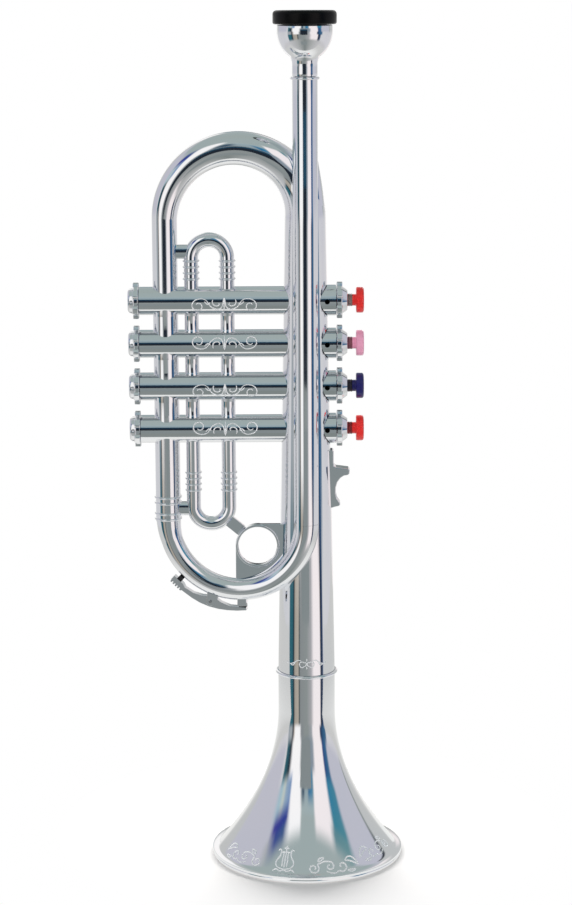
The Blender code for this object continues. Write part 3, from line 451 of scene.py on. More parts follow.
# %% Inner finishes
VALVES = 4
node_finishes = {"water_key_pin": spring_steel, "water_key_cork": soft_rubber}
for number in range(1, VALVES + 1):
    node_finishes[f"valve_plug_{number}"] = soft_rubber
    node_finishes[f"reed_holder_{number}"] = grey_plastic
    node_finishes[f"reed_{number}"] = reed_brass
for node_name, finish in node_finishes.items():
    node_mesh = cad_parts[node_name].data
    node_mesh.materials.clear()
    node_mesh.materials.append(finish)
print(f"{len(node_finishes)} small pieces keep the shape of their solids")

# %% [markdown]
# ## The bell
#
# The bell is one turned shell. Its flare follows a square law, steep at the rim and nearly straight at the
# throat, and it ends in a rolled lip below and a bead above. Both walls are in the profile, so the inside
# is there when the trumpet is turned over.

# %% Bell
RIM, THROAT, FLARE, WALL = 47.8, 14.1, 75.0, 1.6
LIP_HEIGHT, BEAD_HEIGHT, BEAD_RISE, BELL_TOP = 3.0, 94.5, 1.35, 95.3


def flare_radius(z):
    """The bell's outer radius at a height, in millimetres."""
    return THROAT + (RIM - THROAT) * max(0.0, 1 - z / FLARE) ** 2


def inner_flare(z):
    """The point of the inner wall that faces a point of the outer one."""
    slope = (flare_radius(z + 0.01) - flare_radius(z)) / 0.01
    length = math.hypot(1, slope)
    return flare_radius(z) - WALL / length, z + WALL * slope / length


heights = [LIP_HEIGHT + (FLARE - LIP_HEIGHT) * (i / 44) ** 1.15 for i in range(45)]
half_turn = [math.pi * i / 12 for i in range(13)]
bead = [(THROAT + BEAD_RISE * math.sin(a), BEAD_HEIGHT - 0.8 * math.cos(a)) for a in half_turn]
outer_wall = [(flare_radius(z), z) for z in heights]
outer_wall[0] = (flare_radius(LIP_HEIGHT) + 0.35, LIP_HEIGHT)
lip = [(47.8, 2.7), (47.9, 2.2)] + arc((46.9, 1.0), 1.0, 35, -90, 8) + [(45.3, 0.0), (44.6, 0.35)]
inner_wall = [inner_flare(z) for z in heights[3:]]
bell_profile = bead[::-1] + outer_wall[::-1] + lip + inner_wall + [(THROAT - WALL, BELL_TOP)]
bell = turned("bell", bell_profile + bell_profile[:1], at(0, 0, 0), steps=160)
dressed(bell, chrome, ["bell"])
print(f"bell: {len(bell.data.polygons)} faces")

# %% [markdown]
# ## The bell pipe
#
# A long taper with four casings through it. The casings leave a thin dark gap on the key side, which is
# what makes them look like separate pieces, so the pipe gets real holes from a Boolean, a little wider
# there.

# %% Bell pipe
PIPE_FOOT, PIPE_TOP, PIPE_WALL = 95.4, 313.9, 1.3
PIPE_START, PIPE_END_R, BOW_Z = 95.6, 9.9, 320.9
LEFT_HOLE, RIGHT_HOLE, HOLE_REACH = 6.95, 8.0, 30
VALVE_HEIGHTS = [281.3 - 21.1 * n for n in range(VALVES)]


def pipe_radius(z):
    """The bell pipe's outer radius, which shrinks evenly up to the bow."""
    return THROAT + (PIPE_END_R - THROAT) * (z - PIPE_START) / (BOW_Z - PIPE_START)


rises = [PIPE_FOOT + (PIPE_TOP - PIPE_FOOT) * i / 60 for i in range(61)]
pipe_profile = [(pipe_radius(z), z) for z in rises]
pipe_profile += [(pipe_radius(z) - PIPE_WALL, z) for z in rises[::-1]]
bell_pipe = turned("bell_pipe", pipe_profile + pipe_profile[:1], at(0, 0, 0), steps=128)


def drill(radius, start, end):
    """The outline of a round cutter, to be turned."""
    return [(0, start), (radius, start), (radius, end), (0, end)]


for z in VALVE_HEIGHTS:
    cut(bell_pipe, turned("left_hole", drill(LEFT_HOLE, -HOLE_REACH, 0), at(0, 0, z), "X", 64))
    cut(bell_pipe, turned("right_hole", drill(RIGHT_HOLE, 0, HOLE_REACH), at(0, 0, z), "X", 64))
dressed(bell_pipe, chrome, ["bell_pipe"])
print(f"bell pipe: holes for {VALVES} casings, {len(bell_pipe.data.polygons)} faces")

# %% [markdown]
# ## The bell bow
#
# The bow starts at the first casing as the left leg, arches over the top and widens until it meets the bell
# pipe. One curve with a radius at each point gives the taper. Near its right end it steps back a little, to
# pass behind the leadpipe, and a slim shoulder fills the corner between the two.

# %% Bell bow
LEG_X, LEG_Y, LEG_R, LEG_TOP = -68.2, 0.65, 6.15, 300
STEP_BACK, STEP_END = 1.5, 0.4 * math.pi
bow_outside = (PIPE_END_R + LEG_R - LEG_X) / 2
bow_middle = PIPE_END_R - bow_outside
bow_points = [at(LEG_X, LEG_Y, z) for z in (VALVE_HEIGHTS[0], LEG_TOP)]
bow_radii = [LEG_R * MM] * 2
for i in range(121):
    share = i / 120
    angle = math.pi * (1 - share)
    set_back = STEP_BACK * math.sin(2.5 * angle) ** 2 if angle < STEP_END else 0.0
    radius = LEG_R + (PIPE_END_R - LEG_R) * share
    reach = bow_outside - radius
    set_back += LEG_Y * (1 - share)
    bow_points.append(at(bow_middle + reach * math.cos(angle), set_back, BOW_Z + reach * math.sin(angle)))
    bow_radii.append(radius * MM)
for z in (319, 317, 315, PIPE_TOP):
    bow_points.append(at(0, 0, z))
    bow_radii.append(pipe_radius(z) * MM)
bell_bow = tube("bell_bow", bow_points, bow_radii, 56, caps=False)

SHOULDER_TOP, SHOULDER_RUN = 352, 36
shoulder_points, shoulder_radii = [], []
for i in range(31):
    edge = 5.6 + 4.2 * math.sin(math.pi / 2 * i / 30)
    shoulder_points.append(at((edge - 2) / 2, -1.0, SHOULDER_TOP - SHOULDER_RUN * i / 30))
    shoulder_radii.append((edge + 2) / 2 * MM)
bell_bow = joined(bell_bow, tube("bow_shoulder", shoulder_points, shoulder_radii, 48))
dressed(bell_bow, chrome, ["bell_bow"], angle=50)
print(f"bell bow: {2 * bow_outside:.1f} mm wide outside")

# %% [markdown]
# ## The leadpipe
#
# The leadpipe leans against the front of the bell pipe, bends back over its axis near the top and ends in a
# bead. It could be bent from a straight cylinder. A tube along a line of points is simpler, because the
# line itself says how far in front the pipe stands at each height.

# %% Leadpipe
LEAD_FOOT, LEAD_TOP, LEAD_R, LEAD_FRONT = 172.5, 388.8, 6.1, -11.5
MOUTH_Y = -2.2


def eased(value, start, end):
    """A smooth step from 0 to 1."""
    share = min(1.0, max(0.0, (value - start) / (end - start)))
    return share * share * (3 - 2 * share)


def lead_y(z):
    """Where the leadpipe's axis stands in depth, in millimetres: nearer to the bell pipe towards the top."""
    return LEAD_FRONT + 3.6 * eased(z, LEAD_FOOT, 340) + 5.7 * eased(z, 318, 384)


lead_heights = [LEAD_FOOT + (LEAD_TOP - LEAD_FOOT) * i / 120 for i in range(121)]
lead_line = [at(0, lead_y(z), z) for z in lead_heights]
leadpipe = tube("leadpipe", lead_line, [LEAD_R * MM] * len(lead_line), 48, caps=False)
bead_profile = [(5.5, 387.5)] + arc((6.5, 388.1), 0.6, -90, 90, 8) + [(5.5, 388.7)]
lead_bead = turned("lead_bead", bead_profile + bead_profile[:1], at(0, MOUTH_Y, 0), steps=72)
leadpipe = joined(leadpipe, lead_bead)
dressed(leadpipe, chrome, ["leadpipe"])
print(f"leadpipe: {LEAD_TOP - LEAD_FOOT:.0f} mm long, {len(leadpipe.data.polygons)} faces")

# %% [markdown]
# ## The mouthpiece
#
# A bowl on a short shank, with a soft black rim for the lips, which is the one piece here that isn't shiny.
# A sphere could be cut open for the bowl. One turned profile gives the bowl, its hollow and the shank
# together, and the rim is a second one that sits on it.

# %% Mouthpiece
BOWL_MIDDLE, BOWL_RADIUS, BOWL_DEPTH, HOLLOW_RADIUS = 410.4, 13.3, 14.3, 11.1
bowl = []
for degrees in range(-58, 1, 3):
    turn = math.radians(degrees)
    bowl.append((BOWL_RADIUS * math.cos(turn), BOWL_MIDDLE + BOWL_DEPTH * math.sin(turn)))
hollow = arc((0, BOWL_MIDDLE), HOLLOW_RADIUS, 0, -79, 18)
shank = [(2.1, 389.1), (6.0, 389.1), (6.1, 389.3), (6.1, 390.5), (6.1, 393.5), (6.1, 394.6)]
shank += [(6.2, 395.7), (6.5, 397.0)]
brim = [(BOWL_RADIUS, 412.9), (13.1, 413.2), (HOLLOW_RADIUS, 413.2)]
cup_profile = shank + bowl + brim + hollow
cup = turned("mouthpiece_cup", cup_profile + cup_profile[:1], at(0, MOUTH_Y, 0), steps=96)
dressed(cup, chrome, ["mouthpiece_cup"])
lip_profile = [(10.8, 412.0), (10.8, 413.5)] + arc((14.3, 414.5), 1.0, -90, 0, 5)
lip_profile += arc((13.5, 418.2), 1.8, 0, 90, 8) + arc((11.9, 418.0), 2.0, 90, 170, 7) + [(10.0, 412.0)]
lip_rim = turned("lip_rim", lip_profile + lip_profile[:1], at(0, MOUTH_Y, 0), steps=96)
dressed(lip_rim, black_plastic, ["lip_rim"])
print(f"mouthpiece: the rim's top is at {max(z for _, z in lip_profile):.1f} mm")

# %% [markdown]
# ## The tuning bow
#
# A half turn of tube that swings from the left leg to the foot of the leadpipe, in a plane that is turned a
# little about the leg. Two pairs of ribs on the leg stand for the joint of a real tuning slide. Its pieces
# and those of the water key below it are placed by angle and distance from the bow's middle, so they follow
# its bend.

# %% Places along the bow
TUNING_R = 5.4
swing = math.atan2(LEAD_FRONT, -LEG_X)
swing_across = Vector((math.cos(swing), math.sin(swing), 0))
swing_normal = Vector((-math.sin(swing), math.cos(swing), 0))
tuning_arc = math.hypot(LEG_X, LEAD_FRONT) / 2
tuning_middle = Vector((LEG_X, 0, LEAD_FOOT)) + swing_across * tuning_arc


def by_bow(angle, reach, side=0.0):
    """A point by its degrees from straight down towards the leg, and its reach and side in millimetres."""
    turn = math.radians(angle)
    outwards = -swing_across * math.sin(turn) - Vector((0, 0, 1)) * math.cos(turn)
    return at(*(tuning_middle + outwards * reach + swing_normal * side))


print(f"tuning bow: {tuning_arc:.1f} mm radius, turned by {math.degrees(swing):.1f} degrees")


# %% Tuning bow
def ribbed_leg(name, place, ribs, radius, rise, width, steps=48):
    """Rounded ribs round an upright leg, as one turned sleeve."""
    start, end = min(ribs) - width, max(ribs) + width
    inside, outside = radius - 0.6, radius + 0.02
    profile = [(inside, start), (outside, start)]
    for z in sorted(ribs):
        for i in range(9):
            bulge = math.sin(math.pi * i / 8) ** 0.7
            profile.append((outside + rise * bulge, z + width * (i / 8 - 0.5)))
    profile += [(outside, end), (inside, end)]
    return turned(name, profile + profile[:1], place, steps=steps)


tuning_points = [at(LEG_X, LEG_Y, z) for z in (VALVE_HEIGHTS[3], 180, 176)]
tuning_radii = [LEG_R * MM] * 3
for i in range(121):
    angle = 90 - 180 * i / 120
    tuning_points.append(by_bow(angle, tuning_arc, LEG_Y * (1 - i / 120)))
    early, late = max(0.0, 1 - i / 12), max(0.0, i / 60 - 1)
    tuning_radii.append((TUNING_R + (LEG_R - TUNING_R) * early + (LEAD_R - TUNING_R) * late) * MM)
tuning_bow = tube("tuning_bow", tuning_points, tuning_radii, 48, caps=False)
rib_heights = [172.9, 175.7, 181.0, 183.8]
tuning_ribs = ribbed_leg("tuning_ribs", at(LEG_X, LEG_Y, 0), rib_heights, LEG_R, 0.65, 1.25)
tuning_bow = joined(tuning_bow, tuning_ribs)
dressed(tuning_bow, chrome, ["tuning_bow"], angle=50)
print(f"tuning bow: {len(rib_heights)} ribs, {len(tuning_bow.data.polygons)} faces")

# %% [markdown]
# ## The links
#
# Between the casings run short tubes: the left leg and the two legs of the small slides. They widen a
# little where they meet a casing, as mouldings do. Each kind is turned once and copied down to the next
# casings.

# %% Links
SLIDE_XS, SLIDE_R = (-55.5, -38.0), 3.5


def link_between(x, y, radius, flare):
    """A tube between the first two casings, with a small flare at both ends."""
    top, foot = VALVE_HEIGHTS[0], VALVE_HEIGHTS[1]
    half = [(0, 0), (radius + flare, 0), (radius + flare, 6.5), (radius + flare / 3, 6.9), (radius, 7.5)]
    profile = [(r, foot + h) for r, h in half] + [(r, top - h) for r, h in half[::-1]]
    return turned("link", profile, at(x, y, 0), steps=64)


VALVE_STEP = Vector((0, 0, VALVE_HEIGHTS[1] - VALVE_HEIGHTS[0])) * MM
link_kinds = (
    ("leg_link", LEG_X, LEG_Y, LEG_R, 0.04),
    ("slide_link_left", SLIDE_XS[0], 0, SLIDE_R, 0.3),
    ("slide_link_right", SLIDE_XS[1], 0, SLIDE_R, 0.3),
)
for kind, x, y, radius, flare in link_kinds:
    first_link = link_between(x, y, radius, flare)
    for number, link in enumerate(repeated(first_link, VALVES - 1, VALVE_STEP), 1):
        dressed(link, chrome, [f"{kind}_{number}"])
print(f"{len(link_kinds) * (VALVES - 1)} links")

# %% [markdown]
# ## The small slides
#
# A U of thin tube closes the slides above the first casing and another one below the last. Ribs mark where
# a real slide would pull out. A torus could be cut in half for the U, but one tube along legs and arc has
# no seam.

# %% Slides
SLIDE_ARC = (SLIDE_XS[1] - SLIDE_XS[0]) / 2
slide_places = (
    ("upper_slide", 302.2, 1, VALVE_HEIGHTS[0], [300.7 - 2.9 * n for n in range(4)]),
    ("lower_slide", 178.9, -1, VALVE_HEIGHTS[3], [187.4 + 2.9 * n for n in range(4)]),
)
for name, arc_z, side, seat_z, ribs in slide_places:
    middle_x = sum(SLIDE_XS) / 2
    points = [at(SLIDE_XS[0], 0, seat_z), at(SLIDE_XS[0], 0, arc_z - side * 4)]
    for x, rise in arc((0, 0), SLIDE_ARC, 180, 0, 48):
        points.append(at(middle_x + x, 0, arc_z + side * rise))
    points += [at(SLIDE_XS[1], 0, arc_z - side * 4), at(SLIDE_XS[1], 0, seat_z)]
    slide = tube(name, points, [SLIDE_R * MM] * len(points), 36)
    for x in SLIDE_XS:
        slide = joined(slide, ribbed_leg(name + "_ribs", at(x, 0, 0), ribs, SLIDE_R, 0.65, 1.15, 36))
    dressed(slide, chrome, [name], angle=50)
    print(f"{name}: {len(ribs)} ribs on each leg")

# %% [markdown]
# ## The valve casings
#
# Each casing is a straight barrel that runs through the bell pipe and comes out thicker on the key side,
# with a small vent in front. It is turned from one profile, and a Boolean drills the vent.

# %% Casings
VENT_X, VENT_RADIUS = 10.5, 1.25
first_valve = at(0, 0, VALVE_HEIGHTS[0])
barrel = [(5.6, -81), (6.6, -81), (6.8, -80.8), (6.8, -45), (6.8, -11), (6.8, 2)]
barrel += [(7.4, 4), (7.4, 14.8), (7.2, 15), (5.6, 15)]
first_casing = turned("casing", barrel + barrel[:1], first_valve, "X", 80)
vent = turned("vent", drill(VENT_RADIUS, -12, -4), (0, 0, 0), "Z", 32)
to_front = Matrix.Rotation(math.radians(-90), 4, "X")
vent.data.transform(Matrix.Translation(at(VENT_X, 0, VALVE_HEIGHTS[0])) @ to_front)
cut(first_casing, vent)
print(f"first casing: {len(first_casing.data.polygons)} faces")

# %% [markdown]
# ## The caps
#
# A cap closes each end of a casing: a domed one on the left and one with a hole for the key on the right.
# Both have six lugs for a grip. One lug is modelled as a small rounded block, then copied and turned round
# the axis.

# %% Lugs
LUGS = 6
LUG_WIDTH, LUG_HEIGHT, LUG_MIDDLE, LUG_TAPER = 4.6, 2.0, 7.75, 0.7


def lugs(name, x_start, x_end):
    """Six tapered blocks round the casing's axis: one is modelled on top and copied round."""
    nothing_selected()
    bpy.ops.mesh.primitive_cube_add(size=1, location=(0, 0, 0))
    block = bpy.context.object
    block.name = name
    bpy.ops.object.mode_set(mode="EDIT")
    bpy.ops.transform.resize(value=((x_end - x_start) * MM, LUG_WIDTH * MM, LUG_HEIGHT * MM))
    bpy.ops.transform.translate(value=((x_start + x_end) / 2 * MM, 0, LUG_MIDDLE * MM))
    bpy.ops.object.mode_set(mode="OBJECT")
    picked(block, lambda place: place.z > LUG_MIDDLE * MM)
    bpy.ops.transform.resize(value=(1, LUG_TAPER, 1), center_override=(0, 0, (LUG_MIDDLE + 1) * MM))
    bpy.ops.mesh.select_all(action="SELECT")
    bpy.ops.mesh.bevel(offset=0.35 * MM, segments=3, affect="EDGES")
    bpy.ops.object.mode_set(mode="OBJECT")
    blocks = repeated(block, LUGS, Vector((0, 0, 0)))
    for number, each in enumerate(blocks):
        turn = Matrix.Rotation(math.radians(360 / LUGS * number), 4, "X")
        each.data.transform(Matrix.Translation(first_valve) @ turn)
    return joined(*blocks)


# %% Caps
DIMPLE_X, DIMPLE_RING, DIMPLE_RADIUS = -84.6, 6.3, 0.9
dome = [(0, -81.2), (7.3, -81.2), (7.6, -81.5), (7.6, -83.1), (7.3, -83.4), (6.3, -83.5)]
dome += [(6.2, -83.7), (6.0, -85.2), (5.7, -85.9), (5.2, -86.3), (4.7, -86.3), (4.4, -86.0)]
dome += [(4.1, -86.0), (3.6, -86.3), (2.0, -86.5), (0, -86.6)]
first_bottom_cap = turned("bottom_cap", dome, first_valve, "X", 72)
for number in range(LUGS):
    turn = math.radians(360 / LUGS * (number + 0.5))
    bpy.ops.mesh.primitive_uv_sphere_add(segments=24, ring_count=12, radius=DIMPLE_RADIUS * MM)
    dimple = bpy.context.object
    y, rise = DIMPLE_RING * math.sin(turn), DIMPLE_RING * math.cos(turn)
    dimple.data.transform(Matrix.Translation(at(DIMPLE_X, y, VALVE_HEIGHTS[0] + rise)))
    cut(first_bottom_cap, dimple)
first_bottom_cap = joined(first_bottom_cap, lugs("cap_lugs", -83.9, -81.1))

nozzle = [(3.15, 15.3), (7.3, 15.3), (7.6, 15.6), (7.6, 17.4), (7.3, 17.7), (6.7, 17.8)]
nozzle += [(5.0, 20.2), (4.7, 20.4), (3.15, 20.4)]
first_top_cap = turned("top_cap", nozzle + nozzle[:1], first_valve, "X", 72)
first_top_cap = joined(first_top_cap, lugs("cap_lugs", 15.2, 18.0))

valve_pieces = {"valve_casing": first_casing, "bottom_cap": first_bottom_cap, "top_cap": first_top_cap}
for kind, first in valve_pieces.items():
    for number, piece in enumerate(repeated(first, VALVES, VALVE_STEP), 1):
        dressed(piece, chrome, [f"{kind}_{number}"], flat=True)
print(f"{VALVES} each of {', '.join(valve_pieces)}")

# %% [markdown]
# ## The keys
#
# A key is a coloured button on a stem, and the stem wears a short ribbed sleeve beside the button, in a dark
# tone that is painted shade, as the stem lies in shadow there. The button's face is very slightly domed and
# its edge is rounded for a child's finger. Inside the casing the stem goes on as a thin rod painted black as
# painted shade, so the vents look dark.

# %% Keys
KEY_BODIES = ("first_key", "second_key", "third_key", "fourth_key")
KEY_SLOTS = ("red_plastic", "pink_plastic", "blue_plastic", "red_plastic")
ROD_R, STEM_R, BUTTON_R, ROD_END = 1.5, 2.8, 6.2, 15.0
stem = [(0, -38.4), (ROD_R, -38.4), (ROD_R, -3.8), (STEM_R, -3.8), (STEM_R, ROD_END), (STEM_R, 24.3)]
stem += arc((3.2, 24.3), 0.4, 180, 90, 4)
button = [(5.9, 24.7), (BUTTON_R, 25.0), (BUTTON_R, 27.4)]
for degrees in range(15, 91, 15):
    turn = math.radians(degrees)
    button.append((BUTTON_R - 1.1 + 1.1 * math.cos(turn), 27.4 + math.sin(turn)))
button += [(3.5, 28.45), (1.7, 28.5), (0, 28.5)]
first_key = turned("key", stem + button, first_valve, "X", 72)
ribs = [(2.85 + 0.25 * math.sin(math.pi * i / 6) ** 2, 18.6 + 4.2 * i / 24) for i in range(25)]
sleeve_profile = [(2.6, 18.6)] + ribs + [(2.6, 22.8)]
first_sleeve = turned("stem_sleeve", sleeve_profile + sleeve_profile[:1], first_valve, "X", 48)
keys = repeated(first_key, VALVES, VALVE_STEP)
sleeves = repeated(first_sleeve, VALVES, VALVE_STEP)
for number, (body, slot) in enumerate(zip(KEY_BODIES, KEY_SLOTS)):
    dressed(keys[number], key_plastics[slot], [f"key_{number + 1}"], body)
    # Inside the casing the stem gets black plastic as painted shade, so the vents look dark.
    keys[number].data.materials.append(black_plastic)
    for face in keys[number].data.polygons:
        face.material_index = int(face.center.x < at(ROD_END, 0, 0).x)
    sleeves[number].name = f"stem_sleeve_{number + 1}"
    dressed(sleeves[number], painted_shade_sleeves[number], (), body)
print(f"{len(keys)} keys with {len(sleeves)} sleeves, {len(first_key.data.polygons)} faces a key")

# %% [markdown]
# ## The key springs
#
# Under each key's shoulder, a coil of steel wire pushes the key back out. A coil could be a stack of rings,
# but the real one is a single wire, so it is a tube along a helix.

# %% Springs
COIL_TURNS, TURN_STEPS, WIRE_RADIUS, SQUEEZED_COIL = 4, 20, 0.3 * MM, 0.7
coil_low, coil_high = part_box("key_spring_1")
coil_middle = (coil_low + coil_high) / 2
coil_radius = (coil_high.z - coil_low.z) / 2 - WIRE_RADIUS
coil_run = coil_high.x - coil_low.x - 2 * WIRE_RADIUS
coil_steps = COIL_TURNS * TURN_STEPS
coil = []
for i in range(coil_steps + 1):
    turn = 2 * math.pi * i / TURN_STEPS
    off_axis = Vector((0, math.cos(turn), math.sin(turn))) * coil_radius
    along = coil_low.x + WIRE_RADIUS + coil_run * i / coil_steps
    coil.append(Vector((along, coil_middle.y, coil_middle.z)) + off_axis)
first_spring = tube("key_spring", coil, [WIRE_RADIUS] * len(coil), 12)
for number, spring in enumerate(repeated(first_spring, VALVES, VALVE_STEP)):
    dressed(spring, spring_steel, [f"key_spring_{number + 1}"])
    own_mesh(spring)
print(f"springs: {COIL_TURNS} turns on {coil_run / MM:.1f} mm")

# %% [markdown]
# ## The braces
#
# Small blocks hold the round tubes together. A block could be a scaled cube. Here it is traced, filled and
# extruded, so that its edges slope, and a small bevel catches the thin highlights that plated plastic
# shows.

# %% Braces
def block_brace(name, x_left, x_right, z, height, depth):
    """An eight-sided block between two upright tubes."""
    tall, deep = height / 2, depth / 2
    corners = ((1, 0.5), (0.5, 1), (-0.5, 1), (-1, 0.5), (-1, -0.5), (-0.5, -1), (0.5, -1), (1, -0.5))
    outline = [at(x_left, deep * across, z + tall * up) for up, across in corners]
    brace = plate(name, outline, Vector(((x_right - x_left) * MM, 0, 0)))
    rounded(brace, 0.25)
    dressed(brace, chrome, [name], flat=True)


block_brace("upper_brace", -64, -53, 305.2, 6.6, 4.8)
block_brace("lower_brace", -63, -53, 177.9, 6.6, 4.8)

RING_X, RING_Z, RING_R = -24.0, 160.0, 10.85
HALF_BRACE, BRACE_FRONT, BRACE_DEPTH = 2.9, -1.6, 2.9
ring_middle = Vector((RING_X, 0, RING_Z))
slide_middle = Vector((-46.75, 0, 178.9))
along = (ring_middle - slide_middle).normalized()
across = Vector((0, 1, 0)).cross(along) * HALF_BRACE
start, end = slide_middle + along * 10.5, ring_middle - along * 10.4
corners = [start - across, end - across, end + across, start + across]
outline = [at(corner.x, BRACE_FRONT, corner.z) for corner in corners]
diagonal = plate("diagonal_brace", outline, Vector((0, BRACE_DEPTH * MM, 0)))
rounded(diagonal, 0.3)
dressed(diagonal, chrome, ["diagonal_brace"], flat=True)
print(f"diagonal brace: {(end - start).length:.1f} mm long")

# %% [markdown]
# ## The finger ring
#
# A flat plate between the bell pipe and the tuning bow has a round hole for the little finger, with a
# raised band. The plate's foot follows the bow's bend, so its outline takes points from there. The hole is
# a Boolean and the band is turned.

# %% Finger ring
PLATE_RIGHT, PLATE_FRONT, PLATE_DEPTH, PLATE_FOOT = -7.0, -5.9, 2.8, 139.5
HOLE_RADIUS, RING_Y = 9.55, -4.5
plate_left = RING_X - RING_R
outline = arc((RING_X, RING_Z), RING_R, 180, 90, 16) + [(PLATE_RIGHT, RING_Z + RING_R)]
foot_points = []
for angle in range(-50, 31, 5):
    point = by_bow(angle, tuning_arc + 1)
    x = point.x / MM - BELL_X / MM
    if plate_left < x < PLATE_RIGHT:
        foot_points.append((x, point.z / MM))
outline += sorted(foot_points, reverse=True) + [(plate_left, PLATE_FOOT)]
ring = plate("finger_ring", [at(x, PLATE_FRONT, z) for x, z in outline], Vector((0, PLATE_DEPTH * MM, 0)))
to_ring = Matrix.Translation(at(RING_X, RING_Y, RING_Z)) @ Matrix.Rotation(math.radians(90), 4, "X")
hole = turned("ring_hole", drill(HOLE_RADIUS, -10, 10), (0, 0, 0), "Z", 96)
hole.data.transform(to_ring)
cut(ring, hole)
rounded(ring, 0.3)
band_profile = arc((10.45, 1.7), 0.4, 0, 90, 4) + arc((9.95, 1.7), 0.4, 90, 180, 4)
band_profile += arc((9.95, -1.7), 0.4, 180, 270, 4) + arc((10.45, -1.7), 0.4, 270, 360, 4)
ring_band = turned("ring_band", band_profile + band_profile[:1], (0, 0, 0), "Z", 96)
ring_band.data.transform(to_ring)
ring = joined(ring, ring_band)
dressed(ring, chrome, ["finger_ring"], flat=True)
print(f"finger ring: a hole {2 * HOLE_RADIUS:.1f} mm across, {len(foot_points)} points on its foot")

# %% [markdown]
# ## The finger hook
#
# A small bracket on the right of the bell pipe has a spur above and a cradle for the thumb below. It is a
# plate, but a moulding has draft so that it leaves its mould, so the front face is turned by a few degrees.

# %% Finger hook
HOOK_FOOT, HOOK_TOP, HOOK_FRONT, HOOK_DEPTH, DRAFT = 178.2, 207.4, -3.5, 7, 2.6
spur = [(13.7, 201.0), (13.9, 199.6), (14.9, 198.9), (20.9, 198.1), (21.6, 197.4), (21.4, 195.6)]
spur += [(20.7, 194.9)]
cradle = [(18.6, 194.5), (16.9, 193.3), (15.5, 191.3), (14.75, 188.6), (14.7, 185.6), (15.3, 183.0)]
cradle += [(16.8, 180.9)]
crest = [(6, HOOK_FOOT), (6, HOOK_TOP), (13.2, HOOK_TOP), (13.7, HOOK_TOP - 0.6)]
tail = [(16.9, 179.7), (16.2, 179.1), (13.6, HOOK_FOOT + 0.3), (13.0, HOOK_FOOT)]
outline = [at(x, HOOK_FRONT, z) for x, z in crest + spur + cradle + tail]
hook = plate("finger_hook", outline, Vector((0, HOOK_DEPTH * MM, 0)))
picked(hook, lambda place: place.y < (HOOK_FRONT + 0.1) * MM)
middle = at(13, HOOK_FRONT, (HOOK_FOOT + HOOK_TOP) / 2)
bpy.ops.transform.rotate(value=-math.radians(DRAFT), orient_axis="X", center_override=middle)
bpy.ops.object.mode_set(mode="OBJECT")
crown = min((v.co for v in hook.data.vertices if v.co.z > (HOOK_TOP - 1) * MM), key=lambda co: co.y)
print(f"hook: the top of its front is at y = {crown.y / MM:.2f} mm")
rounded(hook, 0.45)
dressed(hook, chrome, ["finger_hook"], flat=True)

# %% [markdown]
# ## The water key
#
# A small lever under the tuning bow: a thumb pad with grooves on the left, a pivot between two cheeks in
# the middle and a nipple on the right that the lever's tip closes. The lever is bent along the bow, so its
# outline is traced in angles round the bow.

# %% Lever
LEVER_WIDTH, PIN_ANGLE, PIN_DROP, PIN_HOLE = 4, 18, 2.6, 1.1
outside = tuning_arc + TUNING_R


def swept_plate(name, points, side, depth, bevel):
    """A rounded plate under the bow, from (angle, drop) points and a side and depth in millimetres."""
    outline = [by_bow(angle, outside + drop, side) for angle, drop in points]
    return rounded(plate(name, outline, swing_normal * depth * MM), bevel, 2)


under = [(-6.0, 5.0), (0, 5.15), (6, 5.35), (12, 5.6), (18, 5.8), (24, 5.8), (30, 5.6), (35, 5.4)]
under += [(38.2, 5.4)]
grooves = []
for i in range(5):
    start_angle = 38.6 + 1.9 * i
    for step, drop in ((0, 6.0), (1.1, 6.0), (1.3, 5.0), (1.7, 5.0)):
        grooves.append((start_angle + step, drop))
over = [(48.1, 2.5), (40.0, 2.4), (37.5, 3.3), (31, 3.0), (25, 2.0), (21, 0.9), (15, 0.9)]
over += [(11, 2.0), (5, 3.1), (-6.0, 3.6)]
lever = swept_plate("water_key", under + grooves + over, -LEVER_WIDTH / 2, LEVER_WIDTH, 0.3)
pivot = by_bow(PIN_ANGLE, outside + PIN_DROP)
pin_hole = turned("pin_hole", drill(PIN_HOLE, -6, 6), (0, 0, 0), "Z", 32)
turn_to_pin = swing_normal.to_track_quat("Z", "Y").to_matrix().to_4x4()
pin_hole.data.transform(Matrix.Translation(pivot) @ turn_to_pin)
cut(lever, pin_hole)
dressed(lever, chrome, ["water_key"], "water_key_lever", flat=True)
print(f"water key: {len(lever.data.polygons)} faces, pin at {pivot.z / MM:.1f} mm")

# %% [markdown]
# ## The water key's block
#
# A block of dark, soft rubber under the thumb pad pushes the lever back.

# %% Block
BLOCK_WIDTH, BLOCK_TOP, SQUEEZED_BLOCK = 3.6, 2.35, 0.62
BLOCK_START, BLOCK_END = 42.0, 45.5
block_points = [(BLOCK_START, 0.05), (BLOCK_END, 0.05), (BLOCK_END, BLOCK_TOP), (BLOCK_START, BLOCK_TOP)]
block = swept_plate("water_key_block", block_points, -BLOCK_WIDTH / 2, BLOCK_WIDTH, 0.15)
dressed(block, soft_rubber, ["water_key_block"])
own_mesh(block)
print(f"block: {BLOCK_TOP} mm high, {BLOCK_TOP * SQUEEZED_BLOCK:.2f} mm when squeezed")

# %% [markdown]
# ## The pivot's cheeks and the seat
#
# Two cheeks on the bow hold the pin, and the lever's tip closes on a small post. One cheek is modelled and
# copied to the other side. They are one moulding on the real toy, so they are joined into one piece.

